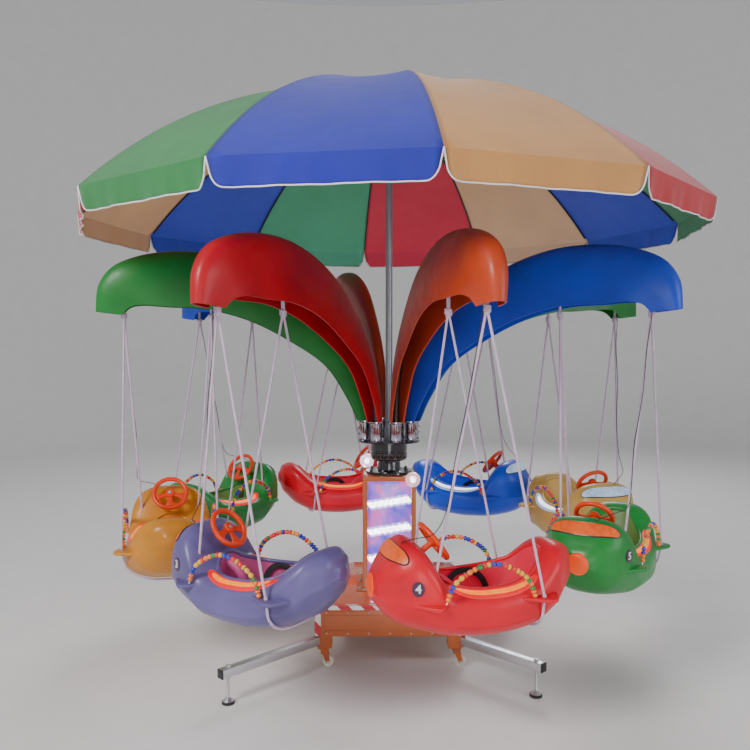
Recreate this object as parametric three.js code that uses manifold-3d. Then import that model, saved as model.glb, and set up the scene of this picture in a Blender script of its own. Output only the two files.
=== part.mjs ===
// Portable fairground swing ride with eight tub seats, in millimetres, +Z up.
// The origin is on the rotor axis at floor level, and -Y is the ride's front.
// A square base on casters and outriggers carries a light tower and a mast. A hub turns on the mast and carries
// eight bent tube arms, each under a petal shell, a parasol on a pole, and eight seats that swing in slings.

import * as THREE from 'three';
import { mergeVertices } from 'three/addons/utils/BufferGeometryUtils.js';
import Module from 'manifold-3d';

const wasm = await Module();
wasm.setup();

// Driving dimensions
const SEATS = 8;
const FIRST_PETAL_ANGLE = -75.5;
const GORES = 12;
const FIRST_RIB_ANGLE = 5.5;
const TOUCH = 0.3;

const BASE_SIDE = 700;
const BASE_BOTTOM = 157;
const BASE_TOP = 283;
const DECK_SIDE = 720;
const DECK_THICKNESS = 24;
const LEG_SIDE = 80;
const LEG_CHAMFER = 25;
const LEG_BOTTOM = 100;

const ARM_TUBE = 38;
const ARM_TOP = 155;
const FOOT_INSET = 35;
const FOOT_PAD_RADIUS = 27;
const FOOT_PAD_HEIGHT = 24;
const FOOT_CONE_FOOT_RADIUS = 23;
const FOOT_CONE_TOP_RADIUS = 12;
const FOOT_ROD_RADIUS = 6;
const FOOT_ROD_TOP = 167;
const OUTRIGGERS = [
  { name: 'front_left', angle: 225, reach: 1010 },
  { name: 'front_right', angle: -45, reach: 915 },
  { name: 'rear_right', angle: 45, reach: 960 },
  { name: 'rear_left', angle: 135, reach: 960 },
];

const CASTER_WHEEL_RADIUS = 26;
const CASTER_WHEEL_WIDTH = 20;
const CASTER_LIFT = 2;
const CASTER_TRAIL = 20;
const CASTER_AXLE_RADIUS = 4;
const CASTER_FORK_GAP = 5;
const CASTER_CHEEK = 4;
const CASTER_SWIVEL_RADIUS = 28;
const CASTER_SWIVEL_HEIGHT = 12;
const CASTER_CROWN = { length: 34, forward: 4, height: 24 };

const TOWER_SIDE = 260;
const TOWER_TOP = 865;
const TOWER_POST = 22;
const TOWER_FLANGE = 320;
const TOWER_FLANGE_THICKNESS = 6;
const PANEL_THICKNESS = 5;
const LAMP_RADIUS = 38;
const LAMP_SIDE = 112;
const REAR_LAMP = { y: 100, neckRadius: 16, neckHeight: 12 };
const FRONT_LAMP = { y: -174, drop: 6 };
const LAMP_BRACKET = { width: 16, reach: 20, height: 26 };

const MAST_RADIUS = 30;
const MAST_TOP = 1000;
const MAST_SIDES = 24;
const BEARING_FLANGE_RADIUS = 115;
const BEARING_FLANGE_THICKNESS = 14;
const BEARING_NECK_RADIUS = 58;
const BEARING_TOP = 926;
const BEARING_BOLTS = 8;
const BOLT_RADIUS = 9;
const BOLT_TOP = 28;
const BOLT_INSET = 22;

const HUB_BOTTOM = 933;
const HUB_TOP = 1034;
const HUB_RADIUS = 92;
const HUB_PLATE_RADIUS = 158;
const HUB_PLATE_THICKNESS = 10;
const HUB_BORE_CLEARANCE = 0.5;
const SOCKET_RADIUS = 29;
const SOCKET_TOP = 1124;
const SOCKET_CIRCLE = 125;
const ARM_RADIUS = 15;
const ARM_LEVEL = 1850;
const ARM_END = 1288;
const PETAL_SEAT_HEIGHT = 1134;
const PETAL_FLANGE_RADIUS = 40;
const PETAL_FLANGE_THICKNESS = 6;
const PETAL_SHELL = 6;
const PETAL_SHOULDER = 0.75;

const POLE_RADIUS = 17.5;
const CANOPY_APEX = 2747;
const CANOPY_SPHERE = 2130;
const CANOPY_RADIUS = 1500;
const CANOPY_CLOTH = 5;
const VALANCE_DROP = 100;
const VALANCE_INWARD = 14;
const RIB_RADIUS = 5;
const CROWN_RADIUS = 45;
const CROWN_HEIGHT = 40;
const CROWN_GAP = 1.3;
const CROWN_TOP = CANOPY_APEX - CANOPY_CLOTH - CROWN_GAP;
const RIB_GAP = 1.1;
const RIB_IN_CROWN = 12;
const RIB_END_SHARE = 0.06;
const RUNNER_TOP = 2380;
const RUNNER_LENGTH = 30;
const RUNNER_RADIUS = 32;
const STRUT_RADIUS = 4;
const POLE_SOCKET = 12;

const SEAT_CIRCLE = 1068;
const SEAT_KEEL = 455;
const SLING_HALF_SPAN = 196;
const KNOT_HEIGHT = 1645;
const ROPE_RADIUS = 5;
const STRAP_RADIUS = 8;
const ROPE_CLEARANCE = 0.4;
const KNOT_RADIUS = 15;
const EYE_RADIUS = 21;
const EYE_ROD = 5.5;
const EYE_CLEARANCE = 0.55;
const FRONT_HOLE = { forward: 165, side: 130, height: 212 };
const REAR_HOLE = { forward: -223, side: 208, height: 159 };
const WHEEL_CENTRE = { forward: 125, height: 333 };
const WHEEL_TILT = 36.7;
const WHEEL_RADIUS = 76;
const WHEEL_ROD = 11;
const BOSS_RADIUS = 20;
const SPOKE_WIDTH = 20;
const SPOKE_THICKNESS = 10;
const COLUMN_RADIUS = 12;
const COLUMN_LENGTH = 130;
const GRIP_SIDE = 203;
const GRIP_ROD = 8;
const FIN_THICKNESS = 14;
const FIN_TIP_START = 0.2;
const FIN_TIP_END = 0.45;
const REAR_FIN = { from: -296, to: -140, root: 150, tip: 244, height: 153 };
const FRONT_FIN = { from: 130, to: 252, root: 150, tip: 232, height: 150 };
const UNDER_ROPE_STAND_OFF = 9;

// Materials
const paint = (color, roughness = 0.5, metalness = 0) =>
  new THREE.MeshStandardMaterial({ color, roughness, metalness });
const ORANGE_STEEL = paint(0xb5481a, 0.45, 0.3);
const DECK_PAINT = paint(0xd9663a, 0.4, 0.2);
const BRIGHT_STEEL = paint(0xb9bcc2, 0.3, 0.9);
const BLACK_STEEL = paint(0x17171a, 0.35, 0.6);
const GREY_STEEL = paint(0x8d9096, 0.4, 0.8);
const WHITE_WHEEL = paint(0xd8d4cc, 0.6);
const LIT_PANEL = paint(0xb9a4e6, 0.3);
const LAMP_GLASS = paint(0xf4f2f6, 0.1);
const CLOTH = paint(0x1b2fae, 0.9);
const ROPE = paint(0xb9a3ba, 0.9);
const WHEEL_PLASTIC = paint(0xf04a17, 0.35);
const PETAL_COLOURS = [0xb1391c, 0x1746b4, 0x1d6d30, 0xa8141f, 0x9a2a1e, 0x1746b4, 0x1d6d30, 0xa8141f];
const SEAT_COLOURS = [0xd3122a, 0x2c7d3c, 0xc39a4b, 0x1d57cf, 0xd3122a, 0x2f9443, 0xb9862b, 0x5f5f9e];

// Solids: three.js geometry goes in, a solid that can be joined or cut comes out, and back again
function signedVolume(position, index) {
  const [a, b, c] = [new THREE.Vector3(), new THREE.Vector3(), new THREE.Vector3()];
  let volume = 0;
  for (let i = 0; i < index.length; i += 3) {
    a.fromArray(position, index[i] * 3);
    b.fromArray(position, index[i + 1] * 3);
    c.fromArray(position, index[i + 2] * 3);
    volume += a.dot(b.cross(c)) / 6;
  }
  return volume;
}

function toSolid(geometry, matrix = new THREE.Matrix4()) {
  const moved = geometry.clone().applyMatrix4(matrix);
  moved.deleteAttribute('normal');
  moved.deleteAttribute('uv');
  const merged = mergeVertices(moved, 1e-3);
  const position = Float32Array.from(merged.attributes.position.array);
  const corners = [];
  for (let i = 0; i < merged.index.count; i += 3) {
    const [a, b, c] = [merged.index.getX(i), merged.index.getX(i + 1), merged.index.getX(i + 2)];
    if (a !== b && b !== c && c !== a) corners.push(a, b, c);
  }
  if (signedVolume(position, corners) < 0) corners.reverse();
  const triVerts = Uint32Array.from(corners);
  return new wasm.Manifold(new wasm.Mesh({ numProp: 3, vertProperties: position, triVerts }));
}

function toGeometry(solid) {
  const mesh = solid.getMesh();
  const geometry = new THREE.BufferGeometry();
  geometry.setAttribute('position', new THREE.BufferAttribute(Float32Array.from(mesh.vertProperties), 3));
  geometry.setIndex(Array.from(mesh.triVerts));
  geometry.computeVertexNormals();
  return geometry;
}

const union = (...solids) => solids.reduce((whole, next) => whole.add(next));

function addPiece(parent, name, solid, material) {
  const mesh = new THREE.Mesh(toGeometry(solid.simplify(0.05)), material);
  mesh.name = name;
  parent.add(mesh);
}

// Basic shapes, each standing on its own +Z axis
const shift = (x, y, z) => new THREE.Matrix4().makeTranslation(x, y, z);
const turnZ = (degrees) => new THREE.Matrix4().makeRotationZ(THREE.MathUtils.degToRad(degrees));

function block(size, centre) {
  return toSolid(new THREE.BoxGeometry(...size), shift(...centre));
}

function rod(from, to, radius, sides = 12, endRadius = radius) {
  const axis = to.clone().sub(from);
  const cylinder = new THREE.CylinderGeometry(endRadius, radius, axis.length(), sides);
  const upright = new THREE.Vector3(0, 1, 0);
  const turn = new THREE.Quaternion().setFromUnitVectors(upright, axis.clone().normalize());
  const middle = from.clone().add(to).multiplyScalar(0.5);
  return toSolid(cylinder, new THREE.Matrix4().compose(middle, turn, new THREE.Vector3(1, 1, 1)));
}

const post = (x, y, low, high, radius, sides = 16) =>
  rod(new THREE.Vector3(x, y, low), new THREE.Vector3(x, y, high), radius, sides);

function ball(centre, radius, columns = 10, rows = 7) {
  return toSolid(new THREE.SphereGeometry(radius, columns, rows), shift(...centre));
}

// A round bar along a flat bent line; across is the normal of the plane that the line lies in
function sweep(points, across, radius, sides = 6) {
  return loft(points.map((p, i) => {
    const ahead = points[Math.min(i + 1, points.length - 1)];
    const along = ahead.clone().sub(points[Math.max(i - 1, 0)]).normalize();
    const up = along.clone().cross(across);
    const ring = [];
    for (let s = 0; s < sides; s += 1) {
      const turn = (2 * Math.PI * (s + 0.5)) / sides;
      const offset = across.clone().multiplyScalar(radius * Math.cos(turn));
      ring.push(offset.add(up.clone().multiplyScalar(radius * Math.sin(turn))).add(p));
    }
    return ring;
  }));
}

// A closed skin through rings of points that all have the same count
function loft(rings) {
  const count = rings[0].length;
  const position = rings.flat().flatMap((p) => [p.x, p.y, p.z]);
  const index = [];
  for (let r = 0; r + 1 < rings.length; r += 1) {
    for (let i = 0; i < count; i += 1) {
      const j = (i + 1) % count;
      const [a, b, c, d] = [r * count + i, r * count + j, (r + 1) * count + j, (r + 1) * count + i];
      index.push(a, b, c, a, c, d);
    }
  }
  const last = (rings.length - 1) * count;
  const capTriangles = THREE.ShapeUtils.triangulateShape(flatten(rings[0]), []);
  for (const [a, b, c] of capTriangles) index.push(c, b, a);
  for (const [a, b, c] of THREE.ShapeUtils.triangulateShape(flatten(rings.at(-1)), [])) {
    index.push(last + a, last + b, last + c);
  }
  const geometry = new THREE.BufferGeometry();
  geometry.setAttribute('position', new THREE.Float32BufferAttribute(position, 3));
  geometry.setIndex(index);
  return toSolid(geometry);
}

// A planar ring's own two-dimensional outline, turned so that it keeps the order of its corners
function flatten(ring) {
  const normal = new THREE.Vector3();
  ring.forEach((p, i) => normal.add(p.clone().cross(ring[(i + 1) % ring.length])));
  const origin = ring[0];
  normal.normalize();
  const across = ring[1].clone().sub(origin).normalize();
  const up = normal.clone().cross(across);
  return ring.map((p) => {
    const offset = p.clone().sub(origin);
    return new THREE.Vector2(offset.dot(across), offset.dot(up));
  });
}

const ride = new THREE.Group();

// Base box: a closed housing on four chamfered corner legs
function baseBox() {
  const half = BASE_SIDE / 2;
  const inner = half - LEG_SIDE;
  const body = block([BASE_SIDE, BASE_SIDE, BASE_TOP - BASE_BOTTOM], [0, 0, (BASE_TOP + BASE_BOTTOM) / 2]);
  const outline = new THREE.Shape([
    new THREE.Vector2(inner, inner),
    new THREE.Vector2(half, inner),
    new THREE.Vector2(half, half - LEG_CHAMFER),
    new THREE.Vector2(half - LEG_CHAMFER, half),
    new THREE.Vector2(inner, half),
  ]);
  const depth = BASE_BOTTOM - LEG_BOTTOM + 1;
  const leg = new THREE.ExtrudeGeometry(outline, { depth, bevelEnabled: false });
  const legs = [0, 90, 180, 270].map((angle) => toSolid(leg, turnZ(angle).multiply(shift(0, 0, LEG_BOTTOM))));
  return union(body, ...legs);
}

// Outrigger: square tube out from a leg's chamfer, with a hole for the levelling screw near its end
function outrigger({ angle, reach }) {
  const start = Math.SQRT2 * (BASE_SIDE / 2 - LEG_CHAMFER / 2) + TOUCH;
  const length = reach - start;
  const bar = block([length, ARM_TUBE, ARM_TUBE], [start + length / 2, 0, ARM_TOP - ARM_TUBE / 2]);
  const screwHole = post(reach - FOOT_INSET, 0, 0, ARM_TOP + 1, FOOT_ROD_RADIUS + TOUCH, 6);
  return bar.subtract(screwHole).transform(turnZ(angle).elements);
}

function levellingFoot({ angle, reach }) {
  const x = reach - FOOT_INSET;
  const padTop = FOOT_PAD_HEIGHT * 0.6;
  const pad = post(x, 0, 0, padTop, FOOT_PAD_RADIUS, 10);
  const cone = rod(
    new THREE.Vector3(x, 0, padTop - 1),
    new THREE.Vector3(x, 0, FOOT_PAD_HEIGHT),
    FOOT_CONE_FOOT_RADIUS, 10, FOOT_CONE_TOP_RADIUS,
  );
  const screw = post(x, 0, FOOT_PAD_HEIGHT - 1, FOOT_ROD_TOP, FOOT_ROD_RADIUS, 6);
  return union(pad, cone, screw).transform(turnZ(angle).elements);
}

// Swivel caster under a leg: round swivel plate, two cheeks, and a wheel with its axle
function casterFork(x, y) {
  const top = LEG_BOTTOM - TOUCH;
  const axleHeight = CASTER_WHEEL_RADIUS + CASTER_LIFT;
  const cheekSide = CASTER_WHEEL_WIDTH / 2 + CASTER_FORK_GAP + CASTER_CHEEK / 2;
  const swivel = post(0, 0, top - CASTER_SWIVEL_HEIGHT, top, CASTER_SWIVEL_RADIUS, 10);
  const crown = block(
    [CASTER_CROWN.length, 2 * cheekSide + CASTER_CHEEK, CASTER_CROWN.height],
    [CASTER_CROWN.forward, 0, top - CASTER_CROWN.height / 2 - 10],
  );
  const cheeks = [-1, 1].map((side) => {
    const outline = new THREE.Shape([
      new THREE.Vector2(-14, top - 14),
      new THREE.Vector2(20, top - 14),
      new THREE.Vector2(CASTER_TRAIL + 9, axleHeight + 4),
      new THREE.Vector2(CASTER_TRAIL + 5, axleHeight - 9),
      new THREE.Vector2(CASTER_TRAIL - 6, axleHeight - 9),
    ]);
    const plate = new THREE.ExtrudeGeometry(outline, { depth: CASTER_CHEEK, bevelEnabled: false });
    const upright = new THREE.Matrix4().makeRotationX(Math.PI / 2);
    return toSolid(plate, shift(0, side * cheekSide + CASTER_CHEEK / 2, 0).multiply(upright));
  });
  const axleHole = rod(
    new THREE.Vector3(CASTER_TRAIL, -40, axleHeight),
    new THREE.Vector3(CASTER_TRAIL, 40, axleHeight),
    CASTER_AXLE_RADIUS + TOUCH, 6,
  );
  return union(swivel, crown, ...cheeks).subtract(axleHole).translate([x, y, 0]);
}

function casterWheel(x, y) {
  const height = CASTER_WHEEL_RADIUS + CASTER_LIFT;
  const half = CASTER_WHEEL_WIDTH / 2;
  const reach = half + CASTER_FORK_GAP + CASTER_CHEEK;
  const at = (side) => new THREE.Vector3(CASTER_TRAIL, side, height);
  const tyre = rod(at(-half), at(half), CASTER_WHEEL_RADIUS, 14);
  return union(tyre, rod(at(-reach), at(reach), CASTER_AXLE_RADIUS, 6)).translate([x, y, 0]);
}

// Tower: orange corner posts between two square rims, a foot flange, and light panels inside the posts
function towerFrame() {
  const low = BASE_TOP + DECK_THICKNESS + 2 * TOUCH;
  const outer = TOWER_SIDE;
  const inner = TOWER_SIDE - 2 * TOWER_POST;
  const height = TOWER_TOP - low;
  const column = block([outer, outer, height], [0, 0, low + height / 2]);
  const core = block([inner, inner, height - 2 * TOWER_POST], [0, 0, low + height / 2]);
  const window = [inner, outer + 2, height - 2 * TOWER_POST];
  const windows = union(
    block(window, [0, 0, low + height / 2]),
    block([window[1], window[0], window[2]], [0, 0, low + height / 2]),
  );
  const flange = block(
    [TOWER_FLANGE, TOWER_FLANGE, TOWER_FLANGE_THICKNESS],
    [0, 0, low + TOWER_FLANGE_THICKNESS / 2],
  );
  const mastHole = post(0, 0, 0, TOWER_TOP + 1, MAST_RADIUS + TOUCH, MAST_SIDES);
  return union(column, flange).subtract(union(core, windows, mastHole));
}

function towerPanels() {
  const low = BASE_TOP + DECK_THICKNESS + TOWER_POST + 3 * TOUCH;
  const high = TOWER_TOP - TOWER_POST - TOUCH;
  const outer = TOWER_SIDE - 2 * TOWER_POST - 2 * TOUCH;
  const inner = outer - 2 * PANEL_THICKNESS;
  const middle = (low + high) / 2;
  const hollow = block([inner, inner, TOWER_TOP], [0, 0, middle]);
  return block([outer, outer, high - low], [0, 0, middle]).subtract(hollow);
}

function bearingHousing() {
  const low = TOWER_TOP + TOUCH;
  const flange = post(0, 0, low, low + BEARING_FLANGE_THICKNESS, BEARING_FLANGE_RADIUS, 16);
  const neck = post(0, 0, low, BEARING_TOP, BEARING_NECK_RADIUS, 16);
  const bolts = [];
  const reach = BEARING_FLANGE_RADIUS - BOLT_INSET;
  for (let i = 0; i < BEARING_BOLTS; i += 1) {
    const angle = (2 * Math.PI * (i + 0.5)) / BEARING_BOLTS;
    const [x, y] = [reach * Math.cos(angle), reach * Math.sin(angle)];
    bolts.push(post(x, y, low + 1, low + BOLT_TOP, BOLT_RADIUS, 5));
  }
  const mastHole = post(0, 0, low - 1, BEARING_TOP + 1, MAST_RADIUS + TOUCH, MAST_SIDES);
  return union(flange, neck, ...bolts).subtract(mastHole);
}

// Ball lamps: the rear left one stands on a neck, and the front right one is held out on a bracket
function rearLamp() {
  const { y, neckRadius, neckHeight } = REAR_LAMP;
  const neck = post(-LAMP_SIDE, y, TOWER_TOP + TOUCH, TOWER_TOP + neckHeight, neckRadius, 12);
  return union(neck, ball([-LAMP_SIDE, y, TOWER_TOP + neckHeight / 2 + LAMP_RADIUS], LAMP_RADIUS, 10, 6));
}

function frontLamp() {
  const { width, reach, height } = LAMP_BRACKET;
  const face = -TOWER_SIDE / 2 - TOUCH;
  const bracket = block([width, reach, height], [LAMP_SIDE, face - reach / 2, TOWER_TOP - height / 2 - 1]);
  return union(bracket, ball([LAMP_SIDE, FRONT_LAMP.y, TOWER_TOP - FRONT_LAMP.drop], LAMP_RADIUS, 10, 6));
}

const casterPlace = BASE_SIDE / 2 - LEG_SIDE / 2;
addPiece(ride, 'base_box', baseBox(), ORANGE_STEEL);
const deckMiddle = BASE_TOP + TOUCH + DECK_THICKNESS / 2;
addPiece(ride, 'deck', block([DECK_SIDE, DECK_SIDE, DECK_THICKNESS], [0, 0, deckMiddle]), DECK_PAINT);
for (const arm of OUTRIGGERS) {
  addPiece(ride, `outrigger_${arm.name}`, outrigger(arm), BRIGHT_STEEL);
  addPiece(ride, `levelling_foot_${arm.name}`, levellingFoot(arm), BRIGHT_STEEL);
}
for (const [name, x, y] of [
  ['front_left', -casterPlace, -casterPlace],
  ['front_right', casterPlace, -casterPlace],
  ['rear_right', casterPlace, casterPlace],
  ['rear_left', -casterPlace, casterPlace],
]) {
  addPiece(ride, `caster_fork_${name}`, casterFork(x, y), ORANGE_STEEL);
  addPiece(ride, `caster_wheel_${name}`, casterWheel(x, y), WHITE_WHEEL);
}
addPiece(ride, 'tower_frame', towerFrame(), ORANGE_STEEL);
addPiece(ride, 'tower_panels', towerPanels(), LIT_PANEL);
const mastFoot = BASE_TOP + DECK_THICKNESS + 2 * TOUCH;
addPiece(ride, 'mast', post(0, 0, mastFoot, MAST_TOP, MAST_RADIUS, MAST_SIDES), GREY_STEEL);
addPiece(ride, 'bearing_housing', bearingHousing(), BLACK_STEEL);
addPiece(ride, 'lamp_rear_left', rearLamp(), LAMP_GLASS);
addPiece(ride, 'lamp_front_right', frontLamp(), LAMP_GLASS);

// Petal: a narrow, deep channel shell, open below, with flat flanks and rounded shoulders. Each station is a point
// of the ridge line, with the shell's half width and its depth below the ridge. X runs outward from the rotor axis.
const PETAL_STATIONS = [
  { out: 95, up: PETAL_SEAT_HEIGHT, half: 33, depth: 62 },
  { out: 108, up: 1270, half: 36, depth: 106 },
  { out: 180, up: 1475, half: 40, depth: 154 },
  { out: 330, up: 1662, half: 48, depth: 206 },
  { out: 560, up: 1836, half: 64, depth: 246 },
  { out: 830, up: 1932, half: 76, depth: 262 },
  { out: 1090, up: 1940, half: 78, depth: 256 },
  { out: 1285, up: 1884, half: 72, depth: 214 },
  { out: 1372, up: 1788, half: 58, depth: 186 },
  { out: 1388, up: 1660, half: 42, depth: 124 },
];

function petal() {
  const ridge = new THREE.SplineCurve(PETAL_STATIONS.map((s) => new THREE.Vector2(s.out, s.up)));
  const bends = 8;
  const squared = (share) => Math.sign(share) * Math.abs(share) ** PETAL_SHOULDER;
  const rings = PETAL_STATIONS.map((station, i) => {
    const along = i === 0 ? new THREE.Vector2(0, 1) : ridge.getTangent(i / (PETAL_STATIONS.length - 1));
    const down = new THREE.Vector3(along.y, 0, -along.x);
    const point = (half, depth, top, turn) => {
      const p = down.clone().multiplyScalar(top + depth * (1 - squared(Math.cos(turn))));
      return p.add(new THREE.Vector3(station.out, half * squared(Math.sin(turn)), station.up));
    };
    const outside = [];
    const inside = [];
    for (let b = 0; b <= bends; b += 1) {
      const turn = Math.PI * (b / bends - 0.5);
      outside.push(point(station.half, station.depth, 0, turn));
      inside.unshift(point(station.half - PETAL_SHELL, station.depth - PETAL_SHELL, PETAL_SHELL, turn));
    }
    return [...outside, ...inside];
  });
  return loft(rings);
}

// Hub: drum, top plate, and for each petal a socket, a seat flange and a bent tube arm that ends level
function petalArm() {
  const bent = sweep([
    [SOCKET_CIRCLE, HUB_TOP - 1], [SOCKET_CIRCLE, 1150], [150, 1300], [215, 1450], [325, 1585], [480, 1700],
    [650, 1792], [800, ARM_LEVEL], [835, ARM_LEVEL], [ARM_END, ARM_LEVEL],
  ].map(([x, z]) => new THREE.Vector3(x, 0, z)), new THREE.Vector3(0, 1, 0), ARM_RADIUS, 6);
  const socket = post(SOCKET_CIRCLE, 0, HUB_TOP - 1, SOCKET_TOP, SOCKET_RADIUS, 10);
  const flangeTop = PETAL_SEAT_HEIGHT - TOUCH;
  const flangeFoot = flangeTop - PETAL_FLANGE_THICKNESS;
  const flange = post(SOCKET_CIRCLE, 0, flangeFoot, flangeTop, PETAL_FLANGE_RADIUS, 10);
  return union(bent, socket, flange);
}

function hub(angles) {
  const bore = MAST_RADIUS + HUB_BORE_CLEARANCE;
  const drum = post(0, 0, HUB_BOTTOM, HUB_TOP, HUB_RADIUS, 24);
  const plate = post(0, 0, HUB_TOP - HUB_PLATE_THICKNESS, HUB_TOP, HUB_PLATE_RADIUS, 24);
  const arm = petalArm();
  const arms = angles.map((angle) => arm.transform(turnZ(angle).elements));
  const mastBore = post(0, 0, HUB_BOTTOM - 1, MAST_TOP + HUB_BORE_CLEARANCE, bore, MAST_SIDES);
  return union(drum, plate, ...arms).subtract(mastBore);
}

// Parasol: twelve flat gores on a spherical rib line, with a valance, over ribs, crown and runner struts
const ribHeight = (r) => CANOPY_APEX - CANOPY_SPHERE + Math.sqrt(CANOPY_SPHERE ** 2 - r ** 2);
const RIB_STATIONS = [0.06, 0.3, 0.52, 0.77, 1].map((share) => share * CANOPY_RADIUS);

function canopy() {
  const outside = [new THREE.Vector2(0, CANOPY_APEX)];
  const inside = [new THREE.Vector2(0, CANOPY_APEX - CANOPY_CLOTH)];
  for (const r of RIB_STATIONS) {
    outside.push(new THREE.Vector2(r, ribHeight(r)));
    const slope = r / CANOPY_SPHERE;
    const level = Math.sqrt(1 - slope ** 2);
    inside.unshift(new THREE.Vector2(r - CANOPY_CLOTH * slope, ribHeight(r) - CANOPY_CLOTH * level));
  }
  const hem = ribHeight(CANOPY_RADIUS) - VALANCE_DROP;
  outside.push(new THREE.Vector2(CANOPY_RADIUS - VALANCE_INWARD, hem));
  inside.unshift(new THREE.Vector2(CANOPY_RADIUS - VALANCE_INWARD - CANOPY_CLOTH, hem));
  const upright = new THREE.Matrix4().makeRotationX(Math.PI / 2);
  const skin = new THREE.LatheGeometry([...outside, ...inside], GORES);
  return toSolid(skin, turnZ(FIRST_RIB_ANGLE).multiply(upright));
}

function canopyFrame() {
  const drop = CANOPY_CLOTH + RIB_RADIUS * Math.SQRT1_2 + RIB_GAP;
  const crown = post(0, 0, CROWN_TOP - CROWN_HEIGHT, CROWN_TOP, CROWN_RADIUS, 12);
  const runner = post(0, 0, RUNNER_TOP - RUNNER_LENGTH, RUNNER_TOP, RUNNER_RADIUS, 12);
  const pieces = [];
  for (let i = 0; i < GORES; i += 1) {
    const stations = RIB_STATIONS.map((r) => {
      const slope = r / CANOPY_SPHERE;
      const level = Math.sqrt(1 - slope ** 2);
      return new THREE.Vector3(r - drop * slope, 0, ribHeight(r) - drop * level);
    });
    stations[0].setX(CROWN_RADIUS - RIB_IN_CROWN);
    stations.at(-1).lerp(stations.at(-2), RIB_END_SHARE);
    const rib = sweep(stations, new THREE.Vector3(0, 1, 0), RIB_RADIUS, 4);
    const meet = stations[2].clone().sub(new THREE.Vector3(2, 0, 3));
    const start = new THREE.Vector3(RUNNER_RADIUS - STRUT_RADIUS, 0, RUNNER_TOP - RUNNER_LENGTH / 2);
    const strut = rod(start, meet, STRUT_RADIUS, 4);
    const turn = turnZ(FIRST_RIB_ANGLE + (360 * i) / GORES).elements;
    pieces.push(union(rib, strut).transform(turn));
  }
  const poleHole = post(0, 0, 0, CROWN_TOP - POLE_SOCKET, POLE_RADIUS + TOUCH, 12);
  return union(crown, runner, ...pieces).subtract(poleHole);
}

const petalAngles = [];
for (let i = 0; i < SEATS; i += 1) petalAngles.push(FIRST_PETAL_ANGLE + (360 * i) / SEATS);

addPiece(ride, 'hub', hub(petalAngles), BLACK_STEEL);
const poleTop = CROWN_TOP - POLE_SOCKET - TOUCH;
addPiece(ride, 'pole', post(0, 0, HUB_TOP + TOUCH, poleTop, POLE_RADIUS, 12), GREY_STEEL);
addPiece(ride, 'canopy', canopy(), CLOTH);
addPiece(ride, 'canopy_frame', canopyFrame(), BLACK_STEEL);

// Seat hull: each station is a cross-section, from the tail to the nose. X is forward, Y is away from the
// rotor axis, and heights count from the keel.
const HULL_STATIONS = [
  { at: -418, half: 28, low: 200, high: 254 },
  { at: -390, half: 82, low: 142, high: 296 },
  { at: -320, half: 148, low: 70, high: 306 },
  { at: -215, half: 190, low: 20, high: 226 },
  { at: -50, half: 208, low: 0, high: 198 },
  { at: 115, half: 198, low: 8, high: 208 },
  { at: 180, half: 188, low: 20, high: 312 },
  { at: 230, half: 174, low: 34, high: 350 },
  { at: 284, half: 148, low: 56, high: 330 },
  { at: 330, half: 108, low: 90, high: 278 },
  { at: 360, half: 64, low: 130, high: 236 },
  { at: 372, half: 30, low: 160, high: 210 },
];
const HULL_ROUNDNESS = 0.78;

// A point of the hull's cross-section at x, at an angle from +Y, standing off the surface by a margin
function hullPoint(x, turn, margin = 0) {
  const next = HULL_STATIONS.findIndex((s, i) => i > 0 && s.at >= x);
  const [a, b] = [HULL_STATIONS[next - 1], HULL_STATIONS[next]];
  const t = (x - a.at) / (b.at - a.at);
  const mix = (key) => THREE.MathUtils.lerp(a[key], b[key], t);
  const round = (value) => Math.sign(value) * Math.abs(value) ** HULL_ROUNDNESS;
  const side = (mix('half') + margin) * round(Math.cos(turn));
  const rise = ((mix('high') - mix('low')) / 2 + margin) * round(Math.sin(turn));
  return new THREE.Vector3(x, side, (mix('high') + mix('low')) / 2 + rise);
}

function hullBody() {
  const sides = 10;
  return loft(HULL_STATIONS.map((station) => {
    const ring = [];
    for (let i = 0; i < sides; i += 1) ring.push(hullPoint(station.at, (2 * Math.PI * (i + 0.5)) / sides));
    return ring;
  }));
}

// Cockpit: an oval well that is open at the top. Its floor is above the keel, and its rear wall leans back
// and becomes the front of the backrest.
const COCKPIT_RINGS = [
  { height: 40, rear: -192, front: 92, half: 96 },
  { height: 110, rear: -228, front: 128, half: 134 },
  { height: 210, rear: -262, front: 132, half: 142 },
  { height: 420, rear: -330, front: 136, half: 146 },
];

function cockpit() {
  return loft(COCKPIT_RINGS.map(({ height, rear, front, half }) => {
    const centre = (rear + front) / 2;
    const long = (front - rear) / 2;
    const ring = [];
    for (let i = 0; i < 12; i += 1) {
      const turn = (2 * Math.PI * i) / 12;
      ring.push(new THREE.Vector3(centre + long * Math.cos(turn), half * Math.sin(turn), height));
    }
    return ring;
  }));
}

function fin({ from, to, root, tip, height }) {
  const outline = new THREE.Shape([
    new THREE.Vector2(from, root),
    new THREE.Vector2(THREE.MathUtils.lerp(from, to, FIN_TIP_START), tip),
    new THREE.Vector2(THREE.MathUtils.lerp(from, to, FIN_TIP_END), tip),
    new THREE.Vector2(to, root),
  ]);
  const plate = new THREE.ExtrudeGeometry(outline, { depth: FIN_THICKNESS, bevelEnabled: false });
  const left = toSolid(plate, shift(0, 0, height - FIN_THICKNESS / 2));
  return union(left, left.mirror([0, 1, 0]));
}

const GRIP_ARC = [[146, 160], [112, 232], [20, 284], [-68, 284], [-158, 232], [-192, 160]];

function grips() {
  return [-1, 1].map((side) => {
    const points = GRIP_ARC.map(([x, z]) => new THREE.Vector3(x, side * GRIP_SIDE, z));
    return sweep(points, new THREE.Vector3(0, 1, 0), GRIP_ROD, 4);
  });
}

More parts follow.
